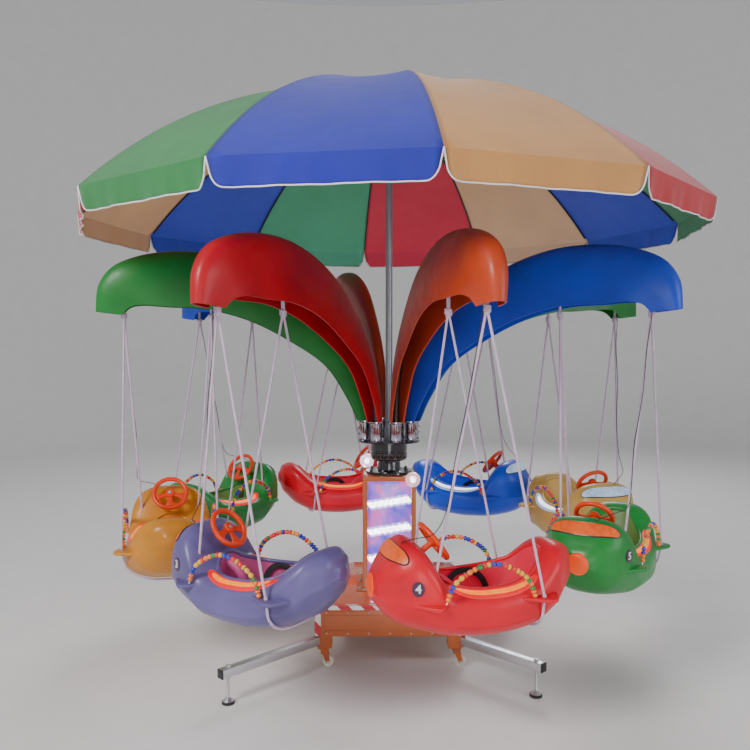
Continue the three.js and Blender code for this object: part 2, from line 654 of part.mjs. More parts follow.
// Sling: an eye on each side round the petal arm, a doubled rope down to a knot, a front rope into the hull's
// shoulder and a rear rope through the fin, and one pass under the hull that joins both sides
function sling(extra) {
  const radius = ROPE_RADIUS + extra;
  const armHeight = ARM_LEVEL - SEAT_KEEL;
  const knotHeight = KNOT_HEIGHT - SEAT_KEEL;
  const eyeSides = 8;
  const innerGap = EYE_RADIUS - EYE_ROD / 2 - ARM_RADIUS - EYE_CLEARANCE;
  const pieces = [];
  for (const side of [-1, 1]) {
    const y = side * SLING_HALF_SPAN;
    const eye = new THREE.TorusGeometry(EYE_RADIUS, EYE_ROD, 3, eyeSides);
    const facing = new THREE.Matrix4().makeRotationX(Math.PI / 2);
    pieces.push(toSolid(eye, shift(0, y, armHeight - innerGap).multiply(facing)));
    const knot = new THREE.Vector3(0, y, knotHeight);
    const eyeFoot = new THREE.Vector3(0, y, armHeight - innerGap - EYE_RADIUS);
    pieces.push(rod(knot, eyeFoot, STRAP_RADIUS, 4));
    pieces.push(ball(knot.toArray(), KNOT_RADIUS, 6, 3));
    const front = new THREE.Vector3(FRONT_HOLE.forward, side * FRONT_HOLE.side, FRONT_HOLE.height);
    const rear = new THREE.Vector3(REAR_HOLE.forward, side * REAR_HOLE.side, REAR_HOLE.height);
    const beyond = (end) => end.clone().add(end.clone().sub(knot).normalize().multiplyScalar(2 * extra));
    pieces.push(rod(knot, beyond(front), radius, 4));
    pieces.push(rod(knot, beyond(rear), radius, 4));
  }
  const under = [];
  const passes = 7;
  for (let i = 0; i <= passes; i += 1) {
    const turn = -Math.PI * (0.06 + (0.88 * i) / passes);
    under.push(hullPoint(REAR_HOLE.forward, turn, UNDER_ROPE_STAND_OFF));
  }
  under.unshift(new THREE.Vector3(REAR_HOLE.forward, REAR_HOLE.side, REAR_HOLE.height + 3 + 2 * extra));
  under.push(new THREE.Vector3(REAR_HOLE.forward, -REAR_HOLE.side, REAR_HOLE.height + 3 + 2 * extra));
  pieces.push(sweep(under, new THREE.Vector3(1, 0, 0), radius, 4));
  return union(...pieces);
}

// Steering wheel: rim, three spokes and boss, on a column that goes into the nose
function steeringWheel(extra) {
  const radius = COLUMN_RADIUS + extra;
  const column = rod(new THREE.Vector3(0, 0, 0), new THREE.Vector3(0, 0, -COLUMN_LENGTH - extra), radius, 6);
  const pieces = [column];
  if (extra === 0) {
    pieces.push(toSolid(new THREE.TorusGeometry(WHEEL_RADIUS, WHEEL_ROD, 4, 12)));
    pieces.push(post(0, 0, -WHEEL_ROD, WHEEL_ROD, BOSS_RADIUS, 6));
    for (const angle of [90, 210, 330]) {
      const spoke = block([WHEEL_RADIUS, SPOKE_WIDTH, SPOKE_THICKNESS], [WHEEL_RADIUS / 2, 0, 0]);
      pieces.push(spoke.transform(turnZ(angle).elements));
    }
  }
  const tilt = new THREE.Matrix4().makeRotationY(THREE.MathUtils.degToRad(WHEEL_TILT - 90));
  const place = shift(WHEEL_CENTRE.forward, 0, WHEEL_CENTRE.height);
  return union(...pieces).transform(place.multiply(tilt).elements);
}

function seatHull() {
  const whole = union(hullBody(), fin(REAR_FIN), fin(FRONT_FIN), ...grips()).subtract(cockpit());
  return whole.subtract(sling(ROPE_CLEARANCE)).subtract(steeringWheel(TOUCH));
}

const hullSolid = seatHull();
const slingSolid = sling(0);
const wheelSolid = steeringWheel(0);

petalAngles.forEach((angle, i) => {
  const spoke = new THREE.Group();
  spoke.rotation.z = THREE.MathUtils.degToRad(angle);
  ride.add(spoke);
  addPiece(spoke, `petal_${i + 1}`, petal(), paint(PETAL_COLOURS[i], 0.4));
  const seat = new THREE.Group();
  seat.position.set(SEAT_CIRCLE, 0, SEAT_KEEL);
  seat.rotation.z = -Math.PI / 2;
  spoke.add(seat);
  addPiece(seat, `seat_hull_${i + 1}`, hullSolid, paint(SEAT_COLOURS[i], 0.35));
  addPiece(seat, `steering_wheel_${i + 1}`, wheelSolid, WHEEL_PLASTIC);
  addPiece(seat, `rope_sling_${i + 1}`, slingSolid, ROPE);
});

export default ride;
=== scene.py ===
import math
import random

import bmesh
import bpy
from mathutils import Matrix, Vector


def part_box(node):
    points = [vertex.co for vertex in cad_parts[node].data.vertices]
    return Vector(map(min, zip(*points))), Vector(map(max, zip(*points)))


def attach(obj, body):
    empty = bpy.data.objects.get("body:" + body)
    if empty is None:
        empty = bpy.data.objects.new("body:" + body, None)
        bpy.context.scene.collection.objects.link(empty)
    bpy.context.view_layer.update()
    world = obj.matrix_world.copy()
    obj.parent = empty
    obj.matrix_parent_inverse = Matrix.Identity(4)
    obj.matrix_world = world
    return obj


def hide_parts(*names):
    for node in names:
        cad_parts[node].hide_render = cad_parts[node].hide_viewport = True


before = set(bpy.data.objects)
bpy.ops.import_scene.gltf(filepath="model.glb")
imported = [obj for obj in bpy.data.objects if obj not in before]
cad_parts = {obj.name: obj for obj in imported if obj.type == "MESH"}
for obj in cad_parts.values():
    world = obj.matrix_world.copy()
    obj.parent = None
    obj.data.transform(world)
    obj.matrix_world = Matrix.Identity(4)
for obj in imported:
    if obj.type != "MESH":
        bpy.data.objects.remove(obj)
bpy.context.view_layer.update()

# Camera
# A hand-held camera at chest height, four metres in front of the ride and a little left of its pole. It
# looks along +Y, tipped down slightly, and its lens is a normal one.
CAMERA_AT = (-0.070, -3.975, 1.530)
CAMERA_TIP = 2.5
camera_data = bpy.data.cameras.new("camera")
camera_data.sensor_width = 36.0
camera_data.lens = 38.1
camera = bpy.data.objects.new("camera", camera_data)
camera.location = CAMERA_AT
camera.rotation_euler = (math.radians(90 - CAMERA_TIP), 0, 0)
bpy.context.collection.objects.link(camera)
bpy.context.scene.camera = camera


# Studio
# A pale matt floor that turns up into a wall all the way round, far enough out to hold a camera on any
# side. Large soft lights hang inside it, and the open top lets in an even sky light.
def set_inputs(finish, node, inputs):
    """Gives a node's inputs their values, or a link where the value is another node's output."""
    for name, value in inputs.items():
        if isinstance(value, bpy.types.NodeSocket):
            finish.node_tree.links.new(value, node.inputs[name])
        else:
            node.inputs[name].default_value = value


def set_shader(finish, inputs):
    """Sets inputs of a finish's own shader."""
    set_inputs(finish, finish.node_tree.nodes["Principled BSDF"], inputs)


def add_node(finish, kind, inputs, output, **settings):
    """Adds a node to a finish and returns one of its outputs."""
    node = finish.node_tree.nodes.new(f"ShaderNode{kind}")
    for name, value in settings.items():
        setattr(node, name, value)
    set_inputs(finish, node, inputs)
    return node.outputs[output]


def own_place(finish):
    """The place on the object itself, which a finish's patterns are laid by."""
    return finish.node_tree.nodes["Texture Coordinate"].outputs["Object"]


def add_noise(finish, scale, detail, distortion=0.0, place=None):
    """Adds a cloudy noise laid by the object's own place, or by another."""
    inputs = {"Vector": place or own_place(finish), "Scale": scale, "Detail": detail,
              "Distortion": distortion}
    return add_node(finish, "TexNoise", inputs, "Fac")


def add_range(finish, value, low, high, least, most):
    """Adds a scale that turns low to high into least to most."""
    inputs = {"Value": value, "From Min": low, "From Max": high, "To Min": least, "To Max": most}
    return add_node(finish, "MapRange", inputs, "Result")


def add_bump(finish, height, strength, distance):
    """Bumps a finish by a height, on top of any bump that it has."""
    inputs = {"Height": height, "Strength": strength, "Distance": distance}
    for below in finish.node_tree.nodes["Principled BSDF"].inputs["Normal"].links:
        inputs["Normal"] = below.from_socket
    set_shader(finish, {"Normal": add_node(finish, "Bump", inputs, "Normal")})


def finish_of(name, colour, roughness, metallic=0.0, coat=0.0, drift=0.12, drift_scale=6.0, grain=0.0,
              grain_scale=300.0, scuff=0.06, specular=0.5):
    """A solid finish: its colour drifts a little, its gloss is scuffed and a fine grain bumps it."""
    finish = bpy.data.materials.new(name)
    finish.use_nodes = True
    finish.node_tree.nodes.new("ShaderNodeTexCoord")
    shades = finish.node_tree.nodes.new("ShaderNodeValToRGB")
    ends = ((0.3, 1 - drift), (0.7, 1 + drift))
    for element, (position, share) in zip(shades.color_ramp.elements, ends):
        element.position = position
        element.color = (*[min(1.0, c * share) for c in colour], 1)
    set_inputs(finish, shades, {"Fac": add_noise(finish, drift_scale, 5.0)})
    smear = add_noise(finish, drift_scale * 5, 6.0)
    gloss = add_range(finish, smear, 0.3, 0.7, max(0.02, roughness - scuff), roughness + scuff)
    set_shader(finish, {"Base Color": shades.outputs["Color"], "Roughness": gloss, "Metallic": metallic,
                        "Coat Weight": coat, "Specular IOR Level": specular})
    if grain:
        add_bump(finish, add_noise(finish, grain_scale, 3.0), grain, 0.001)
    return finish


def only(parts, kind):
    """Those of a list of vertices, edges and faces that are of one kind."""
    return [part for part in parts if isinstance(part, kind)]


def make_object(bm, name, finishes, crease=35.0):
    """Makes a bmesh an object at the origin, smooth but for edges that turn more than the crease angle."""
    bmesh.ops.recalc_face_normals(bm, faces=bm.faces)
    mesh = bpy.data.meshes.new(name)
    bm.to_mesh(mesh)
    bm.free()
    for finish in finishes:
        mesh.materials.append(finish)
    mesh.polygons.foreach_set("use_smooth", [True] * len(mesh.polygons))
    mesh.set_sharp_from_angle(angle=math.radians(crease))
    thing = bpy.data.objects.new(name, mesh)
    bpy.context.collection.objects.link(thing)
    return thing


STUDIO_RADIUS = 8.0
STUDIO_TURN = 2.5
STUDIO_WALL = 5.0
STUDIO_SIDES = 64
bm = bmesh.new()
profile = [bm.verts.new((0, 0, 0)), bm.verts.new((STUDIO_RADIUS, 0, 0))]
bm.edges.new(profile)
bend = bmesh.ops.spin(bm, geom=[profile[1]], cent=(STUDIO_RADIUS, 0, STUDIO_TURN), axis=(0, -1, 0),
                      angle=math.radians(90), steps=12)
top = only(bend["geom_last"], bmesh.types.BMVert)
raised = bmesh.ops.extrude_vert_indiv(bm, verts=top)["verts"]
bmesh.ops.translate(bm, verts=raised, vec=(0, 0, STUDIO_WALL))
bmesh.ops.spin(bm, geom=bm.verts[:] + bm.edges[:], cent=(0, 0, 0), axis=(0, 0, 1), angle=math.tau,
               steps=STUDIO_SIDES, use_merge=True)
bmesh.ops.remove_doubles(bm, verts=bm.verts, dist=1e-4)
studio = make_object(bm, "studio", [finish_of("studio_paint", (0.80, 0.79, 0.78), 0.8, drift=0.02)], 60)


def soft_light(name, place, target, size, power, colour=(1, 1, 1)):
    """A round soft light that looks at a target."""
    lamp = bpy.data.lights.new(name, "AREA")
    lamp.shape = "DISK"
    lamp.size = size
    lamp.energy = power
    lamp.color = colour
    light = bpy.data.objects.new(name, lamp)
    light.location = place
    light.rotation_euler = (Vector(target) - Vector(place)).to_track_quat("-Z", "Y").to_euler()
    bpy.context.collection.objects.link(light)


soft_light("key_light", (-3.6, -4.6, 4.4), (0, 0, 1.1), 2.2, 300, (1.0, 0.97, 0.94))
soft_light("fill_light", (4.6, -3.6, 2.2), (0, 0, 1.0), 3.0, 80, (0.94, 0.96, 1.0))
soft_light("low_light", (0.3, -5.6, 0.9), (0, 0, 1.2), 2.2, 40)
soft_light("back_light", (1.5, 5.2, 4.6), (0, 0, 1.3), 2.6, 150)
world = bpy.data.worlds.new("studio_sky")
world.use_nodes = True
world.node_tree.nodes["Background"].inputs["Color"].default_value = (0.86, 0.89, 0.95, 1)
world.node_tree.nodes["Background"].inputs["Strength"].default_value = 0.42
bpy.context.scene.world = world


# Base housing and deck
# A box of folded sheet steel, painted orange, on four corner legs. It holds the drive, and its top plate
# and its corners are edged with red and white warning tape. Dome-headed screws hold its side panels.
def ease_edges(bm, edges, width, segments=2):
    """Rounds edges off, and returns the vertices that this makes."""
    return bmesh.ops.bevel(bm, geom=edges, offset=width, offset_type="OFFSET", segments=segments,
                           profile=0.5, affect="EDGES", clamp_overlap=True, material=-1)["verts"]


HARD_EDGE = math.radians(30)


def eased_copy(node, width, segments=2):
    """A node's own solid, welded from its loose triangles, with its hard edges eased by a small round."""
    bm = bmesh.new()
    bm.from_mesh(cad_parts[node].data)
    bmesh.ops.remove_doubles(bm, verts=bm.verts, dist=2e-5)
    bmesh.ops.dissolve_limit(bm, angle_limit=math.radians(2), verts=bm.verts, edges=bm.edges)
    hard = [e for e in bm.edges if e.is_manifold and e.calc_face_angle() > HARD_EDGE]
    ease_edges(bm, hard, width, segments)
    return bm


def make_piece(bm, name, body, finishes, replaced=(), crease=35.0):
    """Makes a bmesh a piece of the ride that goes with a body, and hides the nodes that it replaces."""
    piece = make_object(bm, name, finishes, crease)
    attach(piece, body)
    if replaced:
        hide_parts(*replaced)


def edges_of(made):
    """The edges at some vertices, each once."""
    return list(dict.fromkeys(e for v in made for e in v.link_edges))


def turned(degrees):
    """A turn about an upright axis."""
    return Matrix.Rotation(math.radians(degrees), 4, "Z")


def add_block(bm, size, centre, ease=0.0, turn=None):
    """A box by its size and centre, with its edges eased."""
    made = bmesh.ops.create_cube(bm, size=1.0)["verts"]
    bmesh.ops.scale(bm, vec=size, verts=made)
    if ease:
        made = ease_edges(bm, edges_of(made), ease)
    bmesh.ops.transform(bm, matrix=Matrix.Translation(centre) @ (turn or Matrix()), verts=made)
    return made


def facing_along(direction):
    """A turn that takes +Z to a direction."""
    return Vector(direction).to_track_quat("Z", "Y").to_matrix().to_4x4()


def add_rod(bm, start, end, radius, sides=24, far_radius=None):
    """A round bar or cone between two points."""
    start, end = Vector(start), Vector(end)
    place = Matrix.Translation((start + end) / 2) @ facing_along(end - start)
    bmesh.ops.create_cone(bm, cap_ends=True, segments=sides, radius1=radius, radius2=far_radius or radius,
                          depth=(end - start).length, matrix=place)


def add_post(bm, foot, height, radius, sides=24, top_radius=None):
    """An upright round bar or cone by its foot and height."""
    add_rod(bm, foot, Vector(foot) + Vector((0, 0, height)), radius, sides, top_radius)


DOME_RISE = Matrix.Diagonal((1, 1, 0.6, 1))


def add_dome(bm, centre, out, radius):
    """A dome head, such as a screw's or a bolt cap's, that looks along out."""
    bmesh.ops.create_uvsphere(bm, u_segments=12, v_segments=6, radius=radius,
                              matrix=Matrix.Translation(centre) @ facing_along(out) @ DOME_RISE)


def add_math(finish, operation, *values):
    """Adds a sum of one or two values."""
    return add_node(finish, "Math", dict(enumerate(values)), "Value", operation=operation)


def add_split(finish, place):
    """Adds a node that splits a place into its X, Y and Z."""
    split = finish.node_tree.nodes.new("ShaderNodeSeparateXYZ")
    set_inputs(finish, split, {"Vector": place})
    return split.outputs


def add_mix(finish, share, first, second):
    """Adds a mix of two colours: the share is how much of the second shows."""
    return add_node(finish, "Mix", {"Factor": share, "A": first, "B": second}, "Result", data_type="RGBA")


def striped_tape(name, light, dark, pitch):
    """Warning tape: slanting stripes that run on round the corners, with scuffed edges."""
    finish = finish_of(name, light, 0.38, coat=0.2)
    x, y, z = add_split(finish, own_place(finish))
    slant = add_math(finish, "ADD", add_math(finish, "ADD", x, y), z)
    choose = add_math(finish, "GREATER_THAN", add_math(finish, "PINGPONG", slant, pitch), pitch / 2)
    set_shader(finish, {"Base Color": add_mix(finish, choose, (*light, 1), (*dark, 1))})
    return finish


orange_paint = finish_of("orange_enamel", (0.46, 0.105, 0.022), 0.38, coat=0.35, drift=0.10, grain=0.10)
deck_paint = finish_of("deck_enamel", (0.78, 0.17, 0.055), 0.20, coat=0.5, drift=0.22, drift_scale=3.0)
zinc = finish_of("zinc_screws", (0.62, 0.62, 0.64), 0.38, metallic=1.0)
tape_finish = striped_tape("warning_tape", (0.82, 0.80, 0.80), (0.55, 0.02, 0.03), 0.055)

box_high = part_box("base_box")[1]
deck_low, deck_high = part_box("deck")
make_piece(eased_copy("base_box", 0.003), "base_housing", "base", [orange_paint],
           ["base_box"])
make_piece(eased_copy("deck", 0.002), "deck_plate", "base", [deck_paint], ["deck"])

HOUSING_BOTTOM = 0.157
TAPE = 0.0008
CORNER_TAPE = 0.026
DECK_TAPE = 0.012
TAPE_INSET = 0.003
DECK_INSET = 0.002
housing_top = box_high.z
housing_middle = (housing_top + HOUSING_BOTTOM) / 2
housing_height = housing_top - HOUSING_BOTTOM
bm = bmesh.new()
inward = box_high.x - CORNER_TAPE / 2 - TAPE_INSET
face = box_high.x + TAPE / 2
tall = housing_height - 2 * TAPE_INSET
for side in (-1, 1):
    for front in (-1, 1):
        add_block(bm, (CORNER_TAPE, TAPE, tall), (side * inward, front * face, housing_middle))
        add_block(bm, (TAPE, CORNER_TAPE, tall), (side * face, front * inward, housing_middle))
tall = deck_high.z - deck_low.z - 2 * DECK_INSET
middle = (deck_high.z + deck_low.z) / 2
width = 2 * (deck_high.x - DECK_INSET)
tape_level = deck_high.z + TAPE / 2
for front in (-1, 1):
    face = front * (deck_high.x + TAPE / 2)
    add_block(bm, (width, TAPE, tall), (0, face, middle))
    add_block(bm, (TAPE, width, tall), (face, 0, middle))
    inward = front * (deck_high.x - DECK_TAPE / 2 - TAPE_INSET)
    add_block(bm, (width - 0.002, DECK_TAPE, TAPE), (0, inward, tape_level))
    add_block(bm, (DECK_TAPE, width - 0.002 - 2 * DECK_TAPE, TAPE), (inward, 0, tape_level))
make_piece(bm, "warning_tape_edges", "base", [tape_finish])

SCREW_PITCH = 0.098
SCREW_INSET = 0.014
SCREW_HEAD = 0.0042
bm = bmesh.new()
for front in (-1, 1):
    for step in range(-3, 4):
        for height in (HOUSING_BOTTOM + SCREW_INSET, housing_top - SCREW_INSET):
            along = step * SCREW_PITCH
            add_dome(bm, (along, front * box_high.x, height), (0, front, 0), SCREW_HEAD)
            add_dome(bm, (front * box_high.x, along, height), (front, 0, 0), SCREW_HEAD)
make_piece(bm, "housing_screws", "base", [zinc])

# Seams of the side panels: each side of the housing is one removable panel with a folded lip round it.
LIP_WIDTH = 0.003
LIP_STAND = 0.0024
LIP_EASE = 0.0008
LIP_INSET = 0.026
bm = bmesh.new()
face = -(box_high.x + LIP_STAND / 2)
width = 2 * box_high.x - 0.09
tall = housing_height - 2 * LIP_INSET + LIP_WIDTH
for quarter in range(4):
    lips = []
    for height in (HOUSING_BOTTOM + LIP_INSET, housing_top - LIP_INSET):
        lips += add_block(bm, (width, LIP_STAND, LIP_WIDTH), (0, face, height), LIP_EASE)
    for side in (-1, 1):
        upright_at = (side * width / 2, face, housing_middle)
        lips += add_block(bm, (LIP_WIDTH, LIP_STAND, tall), upright_at, LIP_EASE)
    bmesh.ops.transform(bm, matrix=turned(90 * quarter), verts=lips)
make_piece(bm, "panel_lips", "base", [orange_paint])


# Outriggers and levelling feet
# Four square steel tubes reach out from the legs. Near the end of each, a screwed rod is held by two nuts
# and ends in a steel cone on a round rubber pad. A black plastic plug closes the tube's end.
def brushed(name, colour, roughness, scale):
    """Bright metal brushed along its length, so that its highlights are drawn out."""
    finish = finish_of(name, colour, roughness, metallic=1.0, drift=0.06)
    stretched = add_node(finish, "Mapping", {"Vector": own_place(finish), "Scale": scale}, "Vector")
    add_bump(finish, add_noise(finish, 1.0, 4.0, place=stretched), 0.12, 0.0006)
    return finish


stainless = brushed("stainless_tube", (0.66, 0.67, 0.70), 0.36, (30, 30, 700))
black_plastic = finish_of("black_plug", (0.018, 0.018, 0.02), 0.45, grain=0.2)
foot_rubber = finish_of("foot_rubber", (0.02, 0.02, 0.02), 0.7, grain=0.4)

CORNERS = {"front_left": 225, "front_right": -45, "rear_right": 45, "rear_left": 135}
PLUG_OUT = 0.0377
THREAD_PITCH = 0.0035
THREAD_ROOT, THREAD_CREST = 0.0052, 0.006
NUT_HEIGHT, NUT_RADIUS = 0.0085, 0.0105
CONE_HEIGHT, CONE_RADIUS, CONE_TOP = 0.014, 0.0245, 0.009
PAD_HEIGHT, PAD_RADIUS = 0.0125, 0.027
for corner, angle in CORNERS.items():
    arm = f"outrigger_{corner}"
    foot = f"levelling_foot_{corner}"
    make_piece(eased_copy(arm, 0.003, 3), f"{arm}_tube", "base", [stainless], [arm])
    foot_low, foot_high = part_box(foot)
    arm_low, arm_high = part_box(arm)
    x, y, _ = (foot_low + foot_high) / 2
    plug_at = Vector((x, y, (arm_low.z + arm_high.z) / 2)) + turned(angle) @ Vector((PLUG_OUT, 0, 0))
    bm = bmesh.new()
    add_block(bm, (0.005, 0.0385, 0.0385), plug_at, 0.0015, turned(angle))
    make_piece(bm, f"{arm}_plug", "base", [black_plastic])

    bm = bmesh.new()
    lowest = foot_low.z + PAD_HEIGHT + CONE_HEIGHT - 0.0005
    for ring in range(int((foot_high.z - lowest) / THREAD_PITCH)):
        root = lowest + ring * THREAD_PITCH
        add_post(bm, (x, y, root), THREAD_PITCH / 2, THREAD_ROOT, 14, THREAD_CREST)
        add_post(bm, (x, y, root + THREAD_PITCH / 2), THREAD_PITCH / 2, THREAD_CREST, 14, THREAD_ROOT)
    for height in (arm_low.z - 0.009, arm_high.z + 0.0005):
        add_post(bm, (x, y, height), NUT_HEIGHT, NUT_RADIUS, 6)
    add_post(bm, (x, y, PAD_HEIGHT), CONE_HEIGHT, CONE_RADIUS, 40, CONE_TOP)
    make_piece(bm, f"{foot}_screw", "base", [zinc], [foot])
    bm = bmesh.new()
    add_post(bm, (x, y, 0), PAD_HEIGHT, PAD_RADIUS, 40)
    rim = [e for e in bm.edges if e.calc_face_angle() > 1.0]
    ease_edges(bm, rim, 0.002)
    make_piece(bm, f"{foot}_pad", "base", [foot_rubber])

# Casters
# A pressed steel fork, painted with the housing, swivels under each leg. Its wheel is cream nylon and
# turns on a steel axle with a nut at each end.
cream_nylon = finish_of("cream_nylon", (0.74, 0.70, 0.62), 0.42, drift=0.15, drift_scale=25, grain=0.15)
WHEEL_HALF = 0.0100
AXLE_RADIUS = 0.0038
AXLE_NUT = 0.0075
NUT_REACH = (0.0192, 0.0235)
# The tread's outline from the axle out to the rim: share of the radius, share of the half width.
WHEEL_OUTLINE = [(0.0, 0.7), (0.35, 1.0), (0.5, 0.6), (0.72, 0.6), (0.78, 1.0), (0.93, 1.0), (1.0, 0.55)]
for corner in CORNERS:
    fork, wheel = f"caster_fork_{corner}", f"caster_wheel_{corner}"
    make_piece(eased_copy(fork, 0.0012), f"{fork}_pressing", "base", [orange_paint], [fork])
    low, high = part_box(wheel)
    axle = (low + high) / 2
    radius = (high.z - low.z) / 2
    bm = bmesh.new()
    outline = [bm.verts.new((0, -wide * WHEEL_HALF, out * radius)) for out, wide in WHEEL_OUTLINE]
    outline += [bm.verts.new((0, wide * WHEEL_HALF, out * radius)) for out, wide in reversed(WHEEL_OUTLINE)]
    for pair in zip(outline, outline[1:]):
        bm.edges.new(pair)
    bmesh.ops.spin(bm, geom=bm.verts[:] + bm.edges[:], cent=(0, 0, 0), axis=(0, 1, 0), angle=math.tau,
                   steps=40, use_merge=True)
    bmesh.ops.remove_doubles(bm, verts=bm.verts, dist=1e-5)
    bmesh.ops.translate(bm, verts=bm.verts, vec=axle)
    make_piece(bm, f"{wheel}_roller", "base", [cream_nylon], [wheel])
    bm = bmesh.new()
    for side in (-1, 1):
        nut, end = [axle + Vector((0, side * reach, 0)) for reach in NUT_REACH]
        add_rod(bm, axle, nut.lerp(end, 0.3), AXLE_RADIUS, 16)
        add_rod(bm, nut, end, AXLE_NUT, 6)
    make_piece(bm, f"{wheel}_axle", "base", [zinc])


# Light tower
# An orange frame of square posts stands on a bolted foot. Frosted acrylic sheets fill it, lit from behind,
# and a rope of white lights winds up round them, so each side shows three slanting bright bands.
GLOW_BASE = 0.45


def glow_of(name, colour, strength, spot=0.0, spot_scale=120.0):
    """A lit diffuser: its brightness is broken into spots, as a row of small lamps behind it is."""
    finish = finish_of(name, [c * GLOW_BASE for c in colour], 0.40)
    if spot:
        lamps = add_noise(finish, spot_scale, 2.0)
        strength = add_range(finish, lamps, 0.35, 0.65, strength * (1 - spot), strength * (1 + spot))
    set_shader(finish, {"Emission Color": (*colour, 1), "Emission Strength": strength})
    return finish


ACRYLIC_CLOUDS = ((0.30, (0.07, 0.05, 0.70)), (0.45, (0.22, 0.12, 0.85)), (0.57, (0.50, 0.16, 0.75)),
                  (0.70, (0.95, 0.12, 0.40)))


def lit_acrylic(name):
    """Frosted acrylic lit from behind in violet, blue and pink clouds."""
    finish = finish_of(name, (0.42, 0.30, 0.75), 0.18, coat=0.6)
    ramp = finish.node_tree.nodes.new("ShaderNodeValToRGB")
    elements = ramp.color_ramp.elements
    elements[0].position, elements[1].position = ACRYLIC_CLOUDS[0][0], ACRYLIC_CLOUDS[-1][0]
    for position, _ in ACRYLIC_CLOUDS[1:-1]:
        elements.new(position)
    for element, (_, tone) in zip(elements, ACRYLIC_CLOUDS):
        element.color = (*tone, 1)
    set_inputs(finish, ramp, {"Fac": add_noise(finish, 9.0, 2.5, 0.8)})
    clouds = ramp.outputs["Color"]
    set_shader(finish, {"Base Color": clouds, "Emission Color": clouds, "Emission Strength": 0.62})
    return finish


def open_edges(made):
    """The edges at some vertices that have a face on one side only."""
    return [e for e in edges_of(made) if e.is_boundary]


def give_finish(made, number):
    """Gives the faces at some vertices one of their piece's finishes."""
    for v in made:
        for face in v.link_faces:
            face.material_index = number


def run_tube(bm, path, radius, sides=12, closed=False, flat=1.0, finish=0, up=None):
    """Carries a ring along a path, turning it as little as it can; flat squeezes it along up."""
    path = [Vector(p) for p in path]
    last = len(path) - 1
    rings = []
    for i, point in enumerate(path):
        if closed:
            along = (path[(i + 1) % len(path)] - path[i - 1]).normalized()
        else:
            along = (path[min(i + 1, last)] - path[max(i - 1, 0)]).normalized()
        if up is None:
            up = Vector((0, 0, 1)) if abs(along.z) < 0.9 else Vector((1, 0, 0))
        up = (up - along * up.dot(along)).normalized()
        stand = Matrix((along.cross(up), up, along)).transposed().to_4x4()
        place = Matrix.Translation(point) @ stand @ Matrix.Diagonal((1, flat, 1, 1))
        if rings:
            grown = bmesh.ops.extrude_edge_only(bm, edges=edges)["geom"]
            ring = only(grown, bmesh.types.BMVert)
            edges = open_edges(ring)
            bmesh.ops.transform(bm, matrix=place @ previous.inverted(), verts=ring)
        else:
            ring = bmesh.ops.create_circle(bm, segments=sides, radius=radius, matrix=place)["verts"]
            edges = edges_of(ring)
        previous = place
        rings.append(ring)
    if closed:
        bmesh.ops.bridge_loops(bm, edges=open_edges(rings[0] + rings[-1]))
    else:
        bmesh.ops.holes_fill(bm, edges=open_edges(rings[0] + rings[-1]), sides=0)
    give_finish([v for ring in rings for v in ring], finish)


make_piece(eased_copy("tower_frame", 0.002), "tower_posts", "base", [orange_paint],
           ["tower_frame"])
make_piece(eased_copy("tower_panels", 0.001), "tower_acrylic", "base",
           [lit_acrylic("lit_acrylic")], ["tower_panels"])
panel_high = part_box("tower_panels")[1]
band_glow = glow_of("white_light_rope", (0.93, 0.90, 1.0), 6.0, 0.45, 90.0)
halo_glow = glow_of("light_rope_halo", (0.50, 0.46, 1.0), 1.8, 0.35, 60.0)
BAND_START = 0.451
TURN_RISE = 0.134
FACE_RISE = TURN_RISE / 4
WAVE = 0.0030
WAVES = 7
ROPE_PARTS = 28
LIGHT_ROPE, LIGHT_ROPE_FLAT = 0.0135, 0.35
HALO, HALO_FLAT = 0.0235, 0.08
BAND_SIDE_GAP, BAND_TOP_GAP = 0.006, 0.008
half_side = panel_high.x
faces_wound = int((panel_high.z - BAND_TOP_GAP - BAND_START) / FACE_RISE)
bm = bmesh.new()
for face in range(faces_wound):
    facing = turned(90 * face)
    inwards = facing @ Vector((0, 1, 0))
    rope = []
    for i in range(ROPE_PARTS + 1):
        share = i / ROPE_PARTS
        height = BAND_START + FACE_RISE * (face + share) + WAVE * math.sin(WAVES * math.tau * share)
        along = (2 * share - 1) * (half_side - BAND_SIDE_GAP)
        rope.append(facing @ Vector((along, -half_side - 0.0015, height)))
    halo = [point + inwards * 0.0012 for point in rope]
    run_tube(bm, rope, LIGHT_ROPE, 12, flat=LIGHT_ROPE_FLAT, up=inwards)
    run_tube(bm, halo, HALO, 12, flat=HALO_FLAT, finish=1, up=inwards)
make_piece(bm, "light_rope_bands", "base", [band_glow, halo_glow])

BOLT_OUT = 0.145
BOLT_PITCH = 0.12
BOLT_HEIGHT, BOLT_RADIUS = 0.006, 0.0075
WASHER_HEIGHT, WASHER_RADIUS = 0.0015, 0.0105
FLANGE = 0.006
bm = bmesh.new()
flange_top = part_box("tower_frame")[0].z + FLANGE
for side in (-1, 1):
    for step in (-1, 0, 1):
        for place in ((side * BOLT_OUT, step * BOLT_PITCH), (step * BOLT_PITCH, side * BOLT_OUT)):
            add_post(bm, (*place, flange_top), BOLT_HEIGHT, BOLT_RADIUS, 6)
            add_post(bm, (*place, flange_top), WASHER_HEIGHT, WASHER_RADIUS, 20)
make_piece(bm, "tower_foot_bolts", "base", [zinc])

